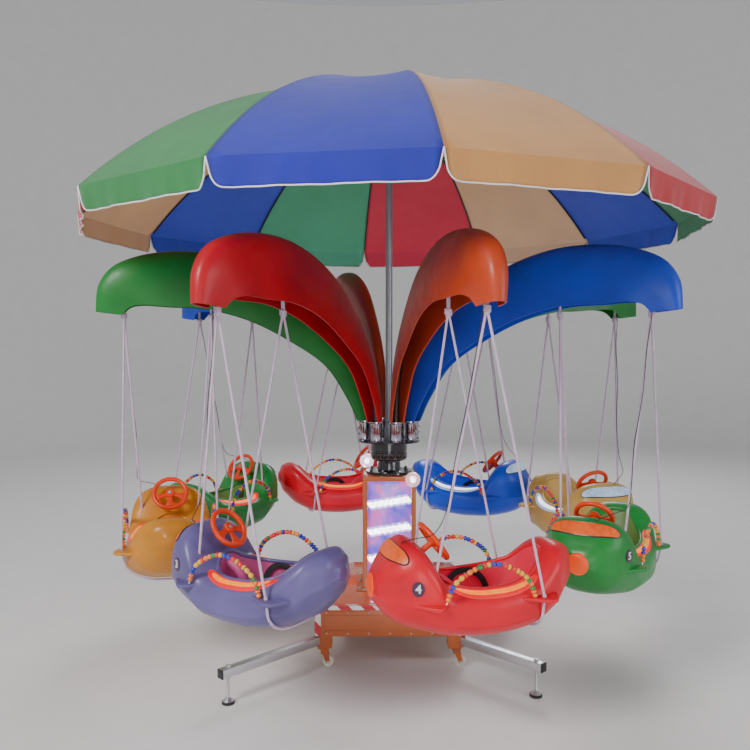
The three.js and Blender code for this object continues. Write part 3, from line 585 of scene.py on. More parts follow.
# Ball lamps
# Two clear cut-glass balls sit at the tower's top corners, one at the front right and one at the rear
# left. Each has a bright lamp at its heart, and a collar joins it to the frame.
cut_glass = finish_of("cut_glass", (0.93, 0.90, 0.97), 0.06, coat=0.5, drift=0.03)
set_shader(cut_glass, {"Transmission Weight": 0.75, "Emission Color": (1.0, 0.80, 0.95, 1),
                       "Emission Strength": 0.45})
lamp_heart = glow_of("lamp_heart", (1.0, 0.86, 0.95), 6.0)
GLOBE_RADIUS = 0.038
HEART_RADIUS = 0.010
tower_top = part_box("tower_frame")[1].z
# Each row is a ball's place and its collar's, with their heights from the tower's top.
LAMP_PLACES = {"lamp_rear_left": ((-0.112, 0.100, 0.044), (-0.112, 0.100, 0.0)),
               "lamp_front_right": ((0.112, -0.174, -0.006), (0.112, -0.130, -0.013))}
for name, places in LAMP_PLACES.items():
    centre, collar = [Vector(place) + Vector((0, 0, tower_top)) for place in places]
    bm = bmesh.new()
    bmesh.ops.create_icosphere(bm, subdivisions=2, radius=GLOBE_RADIUS, matrix=Matrix.Translation(centre))
    make_piece(bm, f"{name}_ball", "base", [cut_glass], [name], crease=5.0)
    bm = bmesh.new()
    bmesh.ops.create_uvsphere(bm, u_segments=24, v_segments=12, radius=HEART_RADIUS,
                              matrix=Matrix.Translation(centre))
    make_piece(bm, f"{name}_heart", "base", [lamp_heart])
    bm = bmesh.new()
    toward = (centre - collar).normalized()
    for reach, radius in ((0.016, 0.014), (0.005, 0.018)):
        add_rod(bm, collar + toward * 0.001, collar + toward * reach, radius, 28)
    make_piece(bm, f"{name}_collar", "base", [orange_paint])

# Mast and bearing
# A thick steel mast comes up through the tower. Its bearing housing is a black bolted casting on the
# tower's top, and the hub turns just above it.
gloss_black = finish_of("gloss_black", (0.012, 0.012, 0.016), 0.16, coat=0.8, drift=0.2)
mast_steel = brushed("mast_steel", (0.42, 0.42, 0.45), 0.36, (60, 60, 900))


def spun(bm, outline, steps=64, axis_at=(0, 0)):
    """Spins an outline of (radius, height) points round a vertical axis."""
    made = [bm.verts.new((axis_at[0] + radius, axis_at[1], height)) for radius, height in outline]
    edges = [bm.edges.new(pair) for pair in zip(made, made[1:])]
    bmesh.ops.spin(bm, geom=made + edges, cent=(*axis_at, 0), axis=(0, 0, 1), angle=math.tau, steps=steps,
                   use_merge=True)
    bmesh.ops.remove_doubles(bm, verts=bm.verts, dist=1e-5)


BOLT_CIRCLE = 0.093
mast_low, mast_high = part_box("mast")
bm = bmesh.new()
add_rod(bm, (0, 0, mast_low.z), (0, 0, mast_high.z), mast_high.x, 48)
make_piece(bm, "mast_tube", "base", [mast_steel], ["mast"])
bearing_low, bearing_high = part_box("bearing_housing")
bm = bmesh.new()
foot = bearing_low.z
spun(bm, [(0.0305, foot), (0.113, foot), (0.115, foot + 0.002), (0.115, foot + 0.012), (0.113, foot + 0.014),
          (0.068, foot + 0.014), (0.060, foot + 0.020), (0.058, foot + 0.032), (0.058, foot + 0.050),
          (0.055, bearing_high.z), (0.0305, bearing_high.z), (0.0305, foot)])
for step in range(8):
    spot = turned(45 * (step + 0.5)) @ Vector((BOLT_CIRCLE, 0, foot + 0.013))
    add_post(bm, spot, 0.003, 0.0125, 20)
    add_post(bm, spot, 0.012, 0.009, 6)
    add_dome(bm, spot + Vector((0, 0, 0.012)), (0, 0, 1), 0.0055)
make_piece(bm, "bearing_casting", "base", [gloss_black], ["bearing_housing"])


# Hub
# A gloss black drum turns on the mast. Eight bright sockets stand on its top plate, and a bent steel tube
# rises from each, runs out under its petal and ends level, where the ropes hang from it.
def smooth_path(points, parts=8):
    """A smooth curve through points, as a list of points."""
    points = [Vector(p) for p in points]
    ends = [points[0] * 2 - points[1]] + points + [points[-1] * 2 - points[-2]]
    path = []
    for a, b, c, d in zip(ends, ends[1:], ends[2:], ends[3:]):
        for i in range(parts):
            t = i / parts
            path.append(((2 * b) + (c - a) * t + (2 * a - 5 * b + 4 * c - d) * t ** 2
                         + (3 * b - a - 3 * c + d) * t ** 3) / 2)
    return path + [points[-1]]


FIRST_ANGLE = -75.5
HUB_LOW, HUB_HIGH = 0.933, 1.034
SOCKET_CIRCLE = 0.125
SOCKET_HIGH = 1.124
FLANGE_LEVEL = 1.1277
ARM_LEVEL = 1.850
ARM_LINE = [(SOCKET_CIRCLE, 1.036), (SOCKET_CIRCLE, 1.150), (0.150, 1.300), (0.215, 1.450), (0.325, 1.585),
            (0.480, 1.700), (0.650, 1.792), (0.800, 1.846), (0.900, ARM_LEVEL), (1.100, ARM_LEVEL),
            (1.288, ARM_LEVEL)]
ARM_TUBE = 0.0145
petal_turns = [turned(FIRST_ANGLE + 45 * k) for k in range(8)]
chrome = finish_of("chrome_sockets", (0.46, 0.44, 0.52), 0.10, metallic=1.0, drift=0.05, scuff=0.04)
arm_black = finish_of("arm_black", (0.02, 0.02, 0.024), 0.38, coat=0.2)

bm = bmesh.new()
spun(bm, [(0.0308, HUB_LOW), (0.084, HUB_LOW), (0.090, HUB_LOW + 0.006), (0.092, HUB_LOW + 0.012),
          (0.092, 0.970), (0.089, 0.973), (0.089, 0.979), (0.092, 0.982), (0.092, 1.020), (0.154, 1.024),
          (0.158, 1.027), (0.158, 1.031), (0.155, HUB_HIGH), (0.02, HUB_HIGH), (0.02, 1.004),
          (0.0308, 1.0005), (0.0308, HUB_LOW)])
make_piece(bm, "hub_drum", "rotor", [gloss_black], ["hub"])
bm = bmesh.new()
for turn in petal_turns:
    out = turn @ Vector((1, 0, 0))
    x, y = (out * SOCKET_CIRCLE).xy
    spun(bm, [(0.0155, HUB_HIGH), (0.032, HUB_HIGH), (0.033, HUB_HIGH + 0.004), (0.029, HUB_HIGH + 0.007),
              (0.029, SOCKET_HIGH - 0.012), (0.031, SOCKET_HIGH - 0.009), (0.031, SOCKET_HIGH - 0.002),
              (0.029, SOCKET_HIGH), (0.0155, SOCKET_HIGH), (0.0155, HUB_HIGH)], 36, (x, y))
    add_post(bm, (x, y, FLANGE_LEVEL), 0.006, 0.040, 40)
    for height in (HUB_HIGH + 0.030, SOCKET_HIGH - 0.030):
        spot = Vector((x, y, height)) + out * 0.028
        add_rod(bm, spot, spot + out * 0.0065, 0.0065, 6)
make_piece(bm, "hub_sockets", "rotor", [chrome])
bm = bmesh.new()
arm_path = smooth_path([(x, 0, z) for x, z in ARM_LINE], 4)
for turn in petal_turns:
    run_tube(bm, [turn @ p for p in arm_path], ARM_TUBE, 16)
make_piece(bm, "petal_arms", "rotor", [arm_black])

# Petals
# Each petal is a narrow, deep moulded shell, open below, that covers its steel arm. It stands on a flange
# over its socket, arches outwards and ends in a blunt hood. The satin plastic runs through orange, blue,
# green and red.
PETAL_LINE = [(0.095, 1.134, 0.033, 0.062), (0.108, 1.270, 0.036, 0.106), (0.180, 1.475, 0.040, 0.154),
              (0.330, 1.662, 0.048, 0.206), (0.560, 1.836, 0.064, 0.246), (0.830, 1.932, 0.076, 0.262),
              (1.090, 1.940, 0.078, 0.256), (1.285, 1.884, 0.072, 0.214), (1.372, 1.788, 0.058, 0.186),
              (1.388, 1.660, 0.042, 0.124)]
PETAL_FOOT = [(1.176, 1.692), (1.236, 1.680), (1.268, 1.646)]
PETAL_SHOULDER = 0.75
PETAL_WALL = 0.0055
PETAL_ROWS = 60
PETAL_COLUMNS = 28
PETAL_TONES = {"orange": (0.46, 0.050, 0.014), "blue": (0.012, 0.060, 0.56), "green": (0.010, 0.17, 0.028),
               "red": (0.46, 0.006, 0.016)}
PETAL_ORDER = ("orange", "blue", "green", "red")


def between(table, position):
    """The values of a table of rows, eased smoothly between its rows; position counts rows."""
    i = min(int(position), len(table) - 2)
    t = position - i
    rows = (table[max(i - 1, 0)], table[i], table[i + 1], table[min(i + 2, len(table) - 1)])
    values = []
    for p, q, r, s in zip(*rows):
        values.append(q + (r - p) * t / 2 + (p - 2.5 * q + 2 * r - s / 2) * t ** 2
                      + (3 * q - p - 3 * r + s) * t ** 3 / 2)
    return values


def squared(share, power):
    """Turns a sine or cosine into one for a rounded square, where the power is under 1."""
    return math.copysign(abs(share) ** power, share)


petal_feet = []
for row, (out, up, _, depth) in enumerate(PETAL_LINE[:-len(PETAL_FOOT)]):
    ahead = PETAL_LINE[row + 1]
    behind = PETAL_LINE[max(row - 1, 0)]
    run = Vector((ahead[0] - behind[0], ahead[1] - behind[1])).normalized()
    petal_feet.append((out + run.y * depth, up - run.x * depth))
petal_feet += PETAL_FOOT


def on_petal(along, across):
    """A point of the shell: along runs 0 to 1 from hub to tip, across from -1 to 1 round the section."""
    position = along * (len(PETAL_LINE) - 1)
    out, up, half, _ = between(PETAL_LINE, position)
    foot_out, foot_up = between(petal_feet, position)
    turn = across * math.pi / 2
    sideways = half * squared(math.sin(turn), PETAL_SHOULDER)
    fall = 1 - squared(math.cos(turn), PETAL_SHOULDER)
    return Vector((out + (foot_out - out) * fall, sideways, up + (foot_up - up) * fall))


def thicken(bm, wall):
    """Turns an open shell's faces outwards, which is up at its top, and gives it a wall."""
    bmesh.ops.recalc_face_normals(bm, faces=bm.faces)
    if max(bm.faces, key=lambda f: f.calc_center_median().z).normal.z < 0:
        bmesh.ops.reverse_faces(bm, faces=bm.faces)
    bmesh.ops.solidify(bm, geom=bm.faces[:], thickness=wall)


petal_finishes = {tone: finish_of(f"petal_{tone}", colour, 0.40, coat=0.05, drift=0.20, drift_scale=4.0,
                                  specular=0.35) for tone, colour in PETAL_TONES.items()}
for k, turn in enumerate(petal_turns):
    bm = bmesh.new()
    bmesh.ops.create_grid(bm, x_segments=PETAL_ROWS, y_segments=PETAL_COLUMNS, size=0.5)
    for v in bm.verts:
        v.co = on_petal(v.co.x + 0.5, v.co.y * 2)
    thicken(bm, PETAL_WALL)
    bmesh.ops.transform(bm, matrix=turn, verts=bm.verts)
    tone = PETAL_ORDER[k % len(PETAL_ORDER)]
    make_piece(bm, f"petal_shell_{k + 1}", "rotor", [petal_finishes[tone]],
               [f"petal_{k + 1}"], 50)

# Parasol
# A three metre garden parasol turns with the hub on a grey pole. Twelve dark ribs and their stretchers
# spread it, and its cloth is twelve sewn gores in four colours with a hanging, white-edged valance.
APEX = 2.747
SPHERE = 2.130
CLOTH_RADIUS = 1.500
GORES = 12
FIRST_RIB = 5.5
VALANCE = 0.100
HEM_IN = 0.014
FLAP_CORNER = 0.045
FLAP_GAP = 0.022
GORE_TONES = {"green": (0.014, 0.19, 0.040), "blue": (0.007, 0.014, 0.40), "orange": (0.62, 0.26, 0.065),
              "red": (0.46, 0.006, 0.012)}
GORE_ORDER = ("blue", "orange", "red", "green")


def rib_height(radius):
    """The height of the arc that the ribs follow."""
    return APEX - SPHERE + math.sqrt(SPHERE ** 2 - radius ** 2)


CROSS_SEAM = 0.56


def cloth(name, colour):
    """Woven canvas: a fine weave, a soft sheen, dark seams, and some of the light passes through it."""
    finish = finish_of(name, colour, 0.78, drift=0.10, drift_scale=3.0)
    threads = add_node(finish, "UVMap", {}, "UV", uv_map="threads")
    add_bump(finish, add_noise(finish, 5.0, 3.0, place=threads), 0.35, 0.012)
    wave = {"Vector": threads, "Scale": 160.0}
    warp, weft = [add_node(finish, "TexWave", wave, "Fac", bands_direction=way) for way in ("X", "Y")]
    add_bump(finish, add_math(finish, "MULTIPLY", warp, weft), 0.25, 0.0006)
    across, along, _ = add_split(finish, add_node(finish, "UVMap", {}, "UV", uv_map="panel"))
    side_seam = add_range(finish, add_math(finish, "PINGPONG", across, 0.5), 0.012, 0.030, 0.45, 1.0)
    apart = add_math(finish, "ABSOLUTE", add_math(finish, "SUBTRACT", along, CROSS_SEAM))
    bare = add_math(finish, "MULTIPLY", side_seam, add_range(finish, apart, 0.003, 0.007, 0.5, 1.0))
    seam_tone = (*[c * 0.35 for c in colour], 1)
    shades = finish.node_tree.nodes["Color Ramp"].outputs["Color"]
    set_shader(finish, {"Base Color": add_mix(finish, bare, seam_tone, shades), "Sheen Weight": 0.25,
                        "Subsurface Weight": 0.45, "Subsurface Radius": (0.02, 0.02, 0.02),
                        "Subsurface Scale": 1.0})
    return finish


ROWS_OUT = 40
ROWS_DOWN = 8
COLUMNS = 26
SAG = 0.016
CLOTH_THICKNESS = 0.0016
gore_turns = [turned(FIRST_RIB + (gore + 0.5) * 360 / GORES) for gore in range(GORES)]
HALF_GORE = math.pi / GORES


def on_gore(along, across, turn):
    """A point of the cloth: along runs 0 at the top, 1 at the fold and 2 at the hem; across runs -1 to 1."""
    radius = CLOTH_RADIUS * min(along, 1.0)
    x, y = radius * math.cos(HALF_GORE), radius * math.sin(HALF_GORE) * across
    height = rib_height(radius) - SAG * math.sin(math.pi * min(along, 1.0)) * (1 - across ** 2)
    if along > 1.0:
        drop = along - 1.0
        half = CLOTH_RADIUS * math.sin(HALF_GORE)
        corner = max(0.0, (abs(y) - half + FLAP_CORNER) / FLAP_CORNER)
        drop *= 1 - (1 - math.sqrt(max(0.0, 1 - corner ** 2))) * FLAP_CORNER / VALANCE
        ripple = 0.005 * math.sin(9 * across + x) + 0.003 * math.sin(23 * across + 1)
        x -= (HEM_IN + ripple) * drop
        y -= math.copysign(FLAP_GAP, y) * drop * abs(across) ** 6
        height -= VALANCE * drop
    return turn @ Vector((x, y, height))


cloth_finishes = [cloth(f"canvas_{tone}", GORE_TONES[tone]) for tone in GORE_ORDER]
bm = bmesh.new()
threads_uv = bm.loops.layers.uv.new("threads")
panel_uv = bm.loops.layers.uv.new("panel")
for gore, turn in enumerate(gore_turns):
    rows = ROWS_OUT + ROWS_DOWN
    made = bmesh.ops.create_grid(bm, x_segments=rows, y_segments=COLUMNS, size=0.5)["verts"]
    give_finish(made, gore % len(GORE_ORDER))
    for v in made:
        row = (v.co.x + 0.5) * rows
        along = row / ROWS_OUT if row <= ROWS_OUT else 1 + (row - ROWS_OUT) / ROWS_DOWN
        across = v.co.y * 2
        run = CLOTH_RADIUS * min(along, 1) + VALANCE * max(along - 1, 0)
        for loop in v.link_loops:
            loop[threads_uv].uv = (across * min(along, 1) * CLOTH_RADIUS * math.sin(HALF_GORE), run)
            loop[panel_uv].uv = (across / 2 + 0.5, along)
        v.co = on_gore(along, across, turn)
bmesh.ops.remove_doubles(bm, verts=bm.verts, dist=2e-4)
canopy = make_object(bm, "parasol_cloth", cloth_finishes, 50)
if canopy.data.polygons[0].normal.z < 0:
    canopy.data.flip_normals()
thick = canopy.modifiers.new("thickness", "SOLIDIFY")
thick.thickness = CLOTH_THICKNESS
thick.offset = -1.0
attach(canopy, "rotor")
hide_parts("canopy")

white_piping = finish_of("white_piping", (0.80, 0.79, 0.80), 0.6, grain=0.3)
PIPING = 0.0028
PIPING_PARTS = 48
bm = bmesh.new()
for turn in gore_turns:
    hem = [math.sin(math.pi * (i / PIPING_PARTS - 0.5)) for i in range(PIPING_PARTS + 1)]
    hem = [on_gore(2.0, across, turn) for across in hem]
    run_tube(bm, [on_gore(1.0, -1.0, turn)] + hem + [on_gore(1.0, 1.0, turn)], PIPING, 8)
make_piece(bm, "valance_piping", "rotor", [white_piping])

dark_rib = finish_of("dark_ribs", (0.03, 0.032, 0.04), 0.38, metallic=0.4)
pole_paint = finish_of("pole_paint", (0.33, 0.34, 0.37), 0.38, metallic=0.7, coat=0.2)
RUNNER = 2.380
RIB_PARTS = 24
RIB_START, RIB_END = 0.03, CLOTH_RADIUS * 0.985
RIB_RADIUS = 0.0048
RIB_IN, RIB_DROP = 0.0075, 0.0085
STRETCHER_RADIUS = 0.004
PIN_RADIUS = 0.0075
STRETCHER_FOOT = (0.028, 0, RUNNER - 0.015)
STRETCHER_TOP = (0.775, 0, rib_height(0.78) - 0.013)
bm = bmesh.new()
for gore in range(GORES):
    turn = turned(FIRST_RIB + gore * 360 / GORES)
    rib = []
    for i in range(RIB_PARTS + 1):
        radius = RIB_START + (RIB_END - RIB_START) * i / RIB_PARTS
        lean = radius / SPHERE
        height = rib_height(radius) - RIB_DROP * math.sqrt(1 - lean ** 2)
        rib.append(turn @ Vector((radius - RIB_IN * lean, 0, height)))
    run_tube(bm, rib, RIB_RADIUS, 8)
    pin = turn @ Vector(STRETCHER_TOP)
    add_rod(bm, turn @ Vector(STRETCHER_FOOT), pin, STRETCHER_RADIUS, 10)
    bmesh.ops.create_uvsphere(bm, u_segments=10, v_segments=6, radius=PIN_RADIUS,
                              matrix=Matrix.Translation(pin))
spun(bm, [(0.0178, RUNNER - 0.030), (0.030, RUNNER - 0.030), (0.032, RUNNER - 0.026),
          (0.032, RUNNER - 0.004), (0.028, RUNNER), (0.0178, RUNNER), (0.0178, RUNNER - 0.030)], 40)
spun(bm, [(0.0178, APEX - 0.046), (0.040, APEX - 0.046), (0.045, APEX - 0.040), (0.045, APEX - 0.010),
          (0.040, APEX - 0.0065), (0.0178, APEX - 0.0065), (0.0178, APEX - 0.046)], 40)
make_piece(bm, "parasol_ribs", "rotor", [dark_rib], ["canopy_frame"])
pole_low, pole_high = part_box("pole")
foot = pole_low.z
POLE_RADIUS = 0.0175
bm = bmesh.new()
add_rod(bm, (0, 0, foot), (0, 0, pole_high.z), POLE_RADIUS, 40)
spun(bm, [(0.0176, foot), (0.030, foot), (0.030, foot + 0.006), (0.022, foot + 0.010), (0.022, foot + 0.050),
          (0.0176, foot + 0.052), (0.0176, foot)], 40)
make_piece(bm, "parasol_pole", "rotor", [pole_paint], ["pole"])


# Seat hulls
# Each seat is one rotomoulded plastic tub: a rounded head over the rider's knees, an oval cockpit and a
# leaning backrest. Painted glow from the strips reddens its well, and a moulded band runs round the outside.
SEAT_CIRCLE = 1.068
KEEL = 0.455
TUB_LINE = [(-0.414, 0.028, 0.200, 0.254), (-0.390, 0.082, 0.142, 0.296), (-0.320, 0.148, 0.070, 0.306),
            (-0.215, 0.190, 0.020, 0.226), (-0.050, 0.208, 0.000, 0.198), (0.115, 0.198, 0.008, 0.208),
            (0.180, 0.188, 0.020, 0.312), (0.230, 0.174, 0.034, 0.350), (0.284, 0.148, 0.056, 0.330),
            (0.330, 0.108, 0.090, 0.278), (0.360, 0.064, 0.130, 0.236), (0.370, 0.030, 0.160, 0.210)]
TUB_UPPER = 0.66
TUB_LOWER = 0.80
TUB_CAP = 0.06
CAP_BULGE = 0.0050
BAND_TURN, BAND_WIDTH, BAND_RISE = 14.0, 5.0, 0.0050
SEAT_TONES = {"red": (0.72, 0.004, 0.022), "green": (0.016, 0.23, 0.040), "tan": (0.58, 0.36, 0.085),
              "blue": (0.014, 0.090, 0.78), "orange": (0.60, 0.235, 0.018), "violet": (0.128, 0.106, 0.28)}
SEAT_ORDER = ("red", "green", "tan", "blue", "red", "green", "orange", "violet")
COLD_SEATS = ("blue", "tan")
# How far each well's colour is blended towards the strips' red: painted glow from the strip lights, not the
# plastic's own colour.
WELL_GLOW_SHARE = {"red": 0.30, "green": 0.12, "tan": 0.0, "blue": 0.0, "orange": 0.12, "violet": 0.48}
STRIP_GLOW_RED = (0.85, 0.05, 0.16)


def tub_section(x):
    """The tub's half width, lowest and highest line at x."""
    row = next(i for i in range(1, len(TUB_LINE)) if TUB_LINE[i][0] >= x - 1e-9)
    a, b = TUB_LINE[row - 1], TUB_LINE[row]
    return between(TUB_LINE, row - 1 + (x - a[0]) / (b[0] - a[0]))[1:]


def on_tub(x, turn, stand_off=0.0):
    """A point of the tub's skin at x, at a turn from +Y over the top, standing off by a distance."""
    half, low, high = tub_section(x)
    c, s = math.cos(turn), math.sin(turn)
    below = math.degrees(math.atan2(-s, abs(c)))
    band = BAND_RISE * math.exp(-((below - BAND_TURN) / BAND_WIDTH) ** 2)
    power = TUB_UPPER if s > 0 else TUB_LOWER
    y = (half + stand_off + band) * squared(c, power)
    z = ((high - low) / 2 + stand_off) * squared(s, power)
    return Vector((x, y, (high + low) / 2 + z))


def skin_height(x, y):
    """The height of the tub's upper skin at x, y."""
    half, low, high = tub_section(x)
    share = min(abs(y) / half, 0.999)
    return (high + low) / 2 + (high - low) / 2 * (1 - share ** (2 / TUB_UPPER)) ** (TUB_UPPER / 2)


# Rows of the well: height, rear, front and half width. Its rear wall leans back into the backrest.
WELL_LINE = [(0.040, -0.192, 0.092, 0.096), (0.110, -0.228, 0.128, 0.134), (0.210, -0.262, 0.132, 0.142),
             (0.440, -0.336, 0.136, 0.146)]
WELL_CORNER = 0.85
WELL_REACH = (-0.345, 0.150)
FLOOR_ROUND = 0.035
WELL_FLOOR, WELL_TOP = 0.042, 0.440


def well_outline(height, turn, grow=0.0):
    """The well's outline at a height: an oval with squared shoulders."""
    row = next((i for i in range(1, len(WELL_LINE)) if WELL_LINE[i][0] >= height), len(WELL_LINE) - 1)
    a, b = WELL_LINE[row - 1], WELL_LINE[row]
    share = (height - a[0]) / (b[0] - a[0])
    rear, front, half = [p + (q - p) * share for p, q in zip(a[1:], b[1:])]
    x = (front + rear) / 2 + ((front - rear) / 2 + grow) * squared(math.cos(turn), WELL_CORNER)
    return x, (half + grow) * squared(math.sin(turn), WELL_CORNER)


def on_rim(turn, grow=0.0, lift=0.0):
    """A point where the well meets the tub's skin, or outside it by grow, raised by lift."""
    height = 0.22
    for _ in range(16):
        x, y = well_outline(height, turn, grow)
        height = skin_height(x, y)
    return Vector((x, y, height + lift))


def grid_to(bm, rows, columns, shape):
    """A grid laid on a shape: shape(row share, column share) gives each corner's place."""
    made = bmesh.ops.create_grid(bm, x_segments=rows, y_segments=columns, size=0.5)["verts"]
    for v in made:
        v.co = shape(v.co.x + 0.5, v.co.y + 0.5)
    return made


def tub_skin(s, t):
    """The skin from the tail's tip at 0 to the nose's at 1, both closed by a shallow dome."""
    cap = max(0.0, TUB_CAP - s, s - 1 + TUB_CAP) / TUB_CAP
    run = min(max((s - TUB_CAP) / (1 - 2 * TUB_CAP), 0.0), 1.0)
    run = run / 2 + (1 - math.cos(math.pi * run)) / 4
    x = TUB_LINE[0][0] + (TUB_LINE[-1][0] - TUB_LINE[0][0]) * run
    _, low, high = tub_section(x)
    middle = Vector((x, 0, (low + high) / 2))
    skin = middle.lerp(on_tub(x, math.tau * t), math.cos(cap * math.pi / 2))
    skin.x += math.copysign(CAP_BULGE * math.sin(cap * math.pi / 2), s - 0.5)
    return skin


def well_wall(s, t):
    """The well's wall from its floor's edge at 0 to above the tub at 1."""
    height = WELL_FLOOR + (WELL_TOP - WELL_FLOOR) * s ** 1.5
    shrink = FLOOR_ROUND * max(0.0, 1 - s / 0.22) ** 2
    x, y = well_outline(height, math.tau * t, -shrink)
    return Vector((x, y, height))


def closed_grid(rows, columns, shape, finish):
    """A closed shape from a grid whose long sides meet and whose ends are filled."""
    bm = bmesh.new()
    grid_to(bm, rows, columns, shape)
    bmesh.ops.remove_doubles(bm, verts=bm.verts, dist=1e-5)
    bmesh.ops.holes_fill(bm, edges=open_edges(bm.verts), sides=0)
    give_finish(bm.verts, finish)
    return make_object(bm, "blank", [None, None], 40)


def tub_shape():
    """The tub in its own place: +X forwards, +Y away from the hub, heights from its keel."""
    body = closed_grid(76, 72, tub_skin, 0)
    cutter = closed_grid(16, 60, well_wall, 1)
    cut = body.modifiers.new("cockpit", "BOOLEAN")
    cut.operation = "DIFFERENCE"
    cut.solver = "EXACT"
    cut.object = cutter
    bpy.context.view_layer.update()
    cut_mesh = bpy.data.meshes.new_from_object(body.evaluated_get(bpy.context.evaluated_depsgraph_get()))
    shape = bmesh.new()
    shape.from_mesh(cut_mesh)
    for face in shape.faces:
        if not WELL_REACH[0] < face.calc_center_median().x < WELL_REACH[1]:
            face.material_index = 0
    for blank in (body, cutter):
        bpy.data.objects.remove(blank)
    bpy.data.meshes.remove(cut_mesh)
    return shape


FIN_THICKNESS = 0.0145
REAR_FIN = [(-0.300, 0.140), (-0.292, 0.176), (-0.268, 0.232), (-0.252, 0.243), (-0.228, 0.240),
            (-0.196, 0.222), (-0.136, 0.190), (-0.136, 0.150)]
FRONT_FIN = [(0.128, 0.160), (0.128, 0.188), (0.150, 0.214), (0.164, 0.228), (0.180, 0.231), (0.200, 0.218),
             (0.254, 0.162), (0.254, 0.140)]


def eased_plate(bm, corners, thickness, ease, segments):
    """A flat plate on an outline of corners, thick upwards, with rounded edges."""
    lower = [bm.verts.new(corner) for corner in corners]
    grown = bmesh.ops.extrude_face_region(bm, geom=[bm.faces.new(lower)])["geom"]
    upper = only(grown, bmesh.types.BMVert)
    bmesh.ops.translate(bm, verts=upper, vec=(0, 0, thickness))
    ease_edges(bm, edges_of(lower + upper), ease, segments)


def seat_place(k):
    """From a seat's own place to the ride's frame."""
    return petal_turns[k] @ Matrix.Translation((SEAT_CIRCLE, 0, KEEL)) @ turned(-90)


def copy_to_seats(shape, name, slot, finishes, node=None, crease=35.0):
    """Copies a shape to each seat. finishes may be a function of the seat's number from 0; slot, or a
    function giving it, is worked out but not used.
    """
    for k in range(8):
        bm = shape.copy()
        bmesh.ops.transform(bm, matrix=seat_place(k), verts=bm.verts)
        seat_finishes = finishes(k) if callable(finishes) else finishes
        seat_slot = slot(k) if callable(slot) else slot
        make_piece(bm, f"{name}_{k + 1}", f"seat_{k + 1}", seat_finishes,
                   [f"{node}_{k + 1}"] if node else (), crease)
    shape.free()


tub_finishes = {}
well_finishes = {}
for tone, colour in SEAT_TONES.items():
    tub_finishes[tone] = finish_of(f"tub_{tone}", colour, 0.36, coat=0.08, drift=0.16, drift_scale=5.0,
                                   grain=0.06, grain_scale=220, specular=0.35)
    # The well's colour is the tub's own blended towards red as painted glow from the strips. Its faint
    # emission is painted glow too, since the well is no lamp.
    share = WELL_GLOW_SHARE[tone]
    glow_tinted = [(1 - share) * c + share * w for c, w in zip(colour, STRIP_GLOW_RED)]
    well_finishes[tone] = finish_of(f"well_{tone}", glow_tinted, 0.42, drift=0.14, grain=0.08, specular=0.35)
    set_shader(well_finishes[tone], {"Emission Color": (*glow_tinted, 1), "Emission Strength": 0.12})


def colour_slot(k):
    """The slot of a seat's own colour."""
    return f"seat_{SEAT_ORDER[k]}"


def tub_plastic(k):
    """The finish of a seat's tub."""
    return [tub_finishes[SEAT_ORDER[k]]]


def well_plastic_and_glow(k):
    """The finish of a seat's cockpit: its plastic, with the strip lights' glow painted into its colour and a
    faint painted emission.
    """
    return [well_finishes[SEAT_ORDER[k]]]


copy_to_seats(tub_shape(), "tub", colour_slot, lambda k: tub_plastic(k) + well_plastic_and_glow(k), "seat_hull", 55)
bm = bmesh.new()
for outline, height in ((REAR_FIN, 0.152), (FRONT_FIN, 0.150)):
    for side in (-1, 1):
        corners = [(x, side * y, height - FIN_THICKNESS / 2) for x, y in outline]
        eased_plate(bm, corners, FIN_THICKNESS, FIN_THICKNESS * 0.38, 3)
copy_to_seats(bm, "fins", colour_slot, tub_plastic, crease=60)

# Pommels
# A moulded post stands between the rider's legs. It has the well's finish, with the strips' painted glow,
# and bends forward into the head.
POMMEL_LINE = [(0.142, 0, 0.196), (0.104, 0, 0.190), (0.062, 0, 0.158), (0.040, 0, 0.100), (0.036, 0, 0.036)]
POMMEL_RADIUS = 0.019
bm = bmesh.new()
run_tube(bm, smooth_path(POMMEL_LINE, 6), POMMEL_RADIUS, 20)
copy_to_seats(bm, "pommel", colour_slot, well_plastic_and_glow)

# Cockpit rims and light strips
# A soft rolled edge runs round each cockpit. On both sides, a lit strip under a rounded diffuser is let
# into the gunwale. It glows amber at its core and red at its edges, or cold white on the blue and tan
# seats.
RIM_ROLL = 0.0080
RIM_PARTS = 80
bm = bmesh.new()
rim = [on_rim(math.tau * i / RIM_PARTS, 0.003, -0.001) for i in range(RIM_PARTS)]
run_tube(bm, rim, RIM_ROLL, 12, closed=True)
copy_to_seats(bm, "cockpit_rim", colour_slot, tub_plastic)

amber_core = glow_of("amber_core", (1.0, 0.215, 0.004), 1.4, 0.15, 45.0)
red_edge = glow_of("red_edge", (1.0, 0.012, 0.014), 0.75, 0.15, 30.0)
cold_core = glow_of("cold_core", (0.90, 0.95, 1.0), 1.9, 0.15, 45.0)
cold_edge = glow_of("cold_edge", (0.50, 0.66, 1.0), 0.55, 0.20, 30.0)
# Each row is a pad: its inner and outer edge, its height, its first and last turn and its finish.
STRIP_PADS = ((0.007, 0.050, 0.0062, 42, 132, 1), (0.014, 0.040, 0.0088, 48, 126, 0))
STRIP_EMBED = 0.0015
STRIP_ENDS = 6


def on_gunwale(turn, grow, stand_off):
    """A point of the skin outside the well's edge by grow, lifted square off the skin."""
    here = on_rim(turn, grow)
    along = on_rim(turn + 0.01, grow) - here
    outwards = on_rim(turn, grow + 0.002) - here
    lift = along.cross(outwards).normalized()
    return here + (lift if lift.z > 0 else -lift) * stand_off


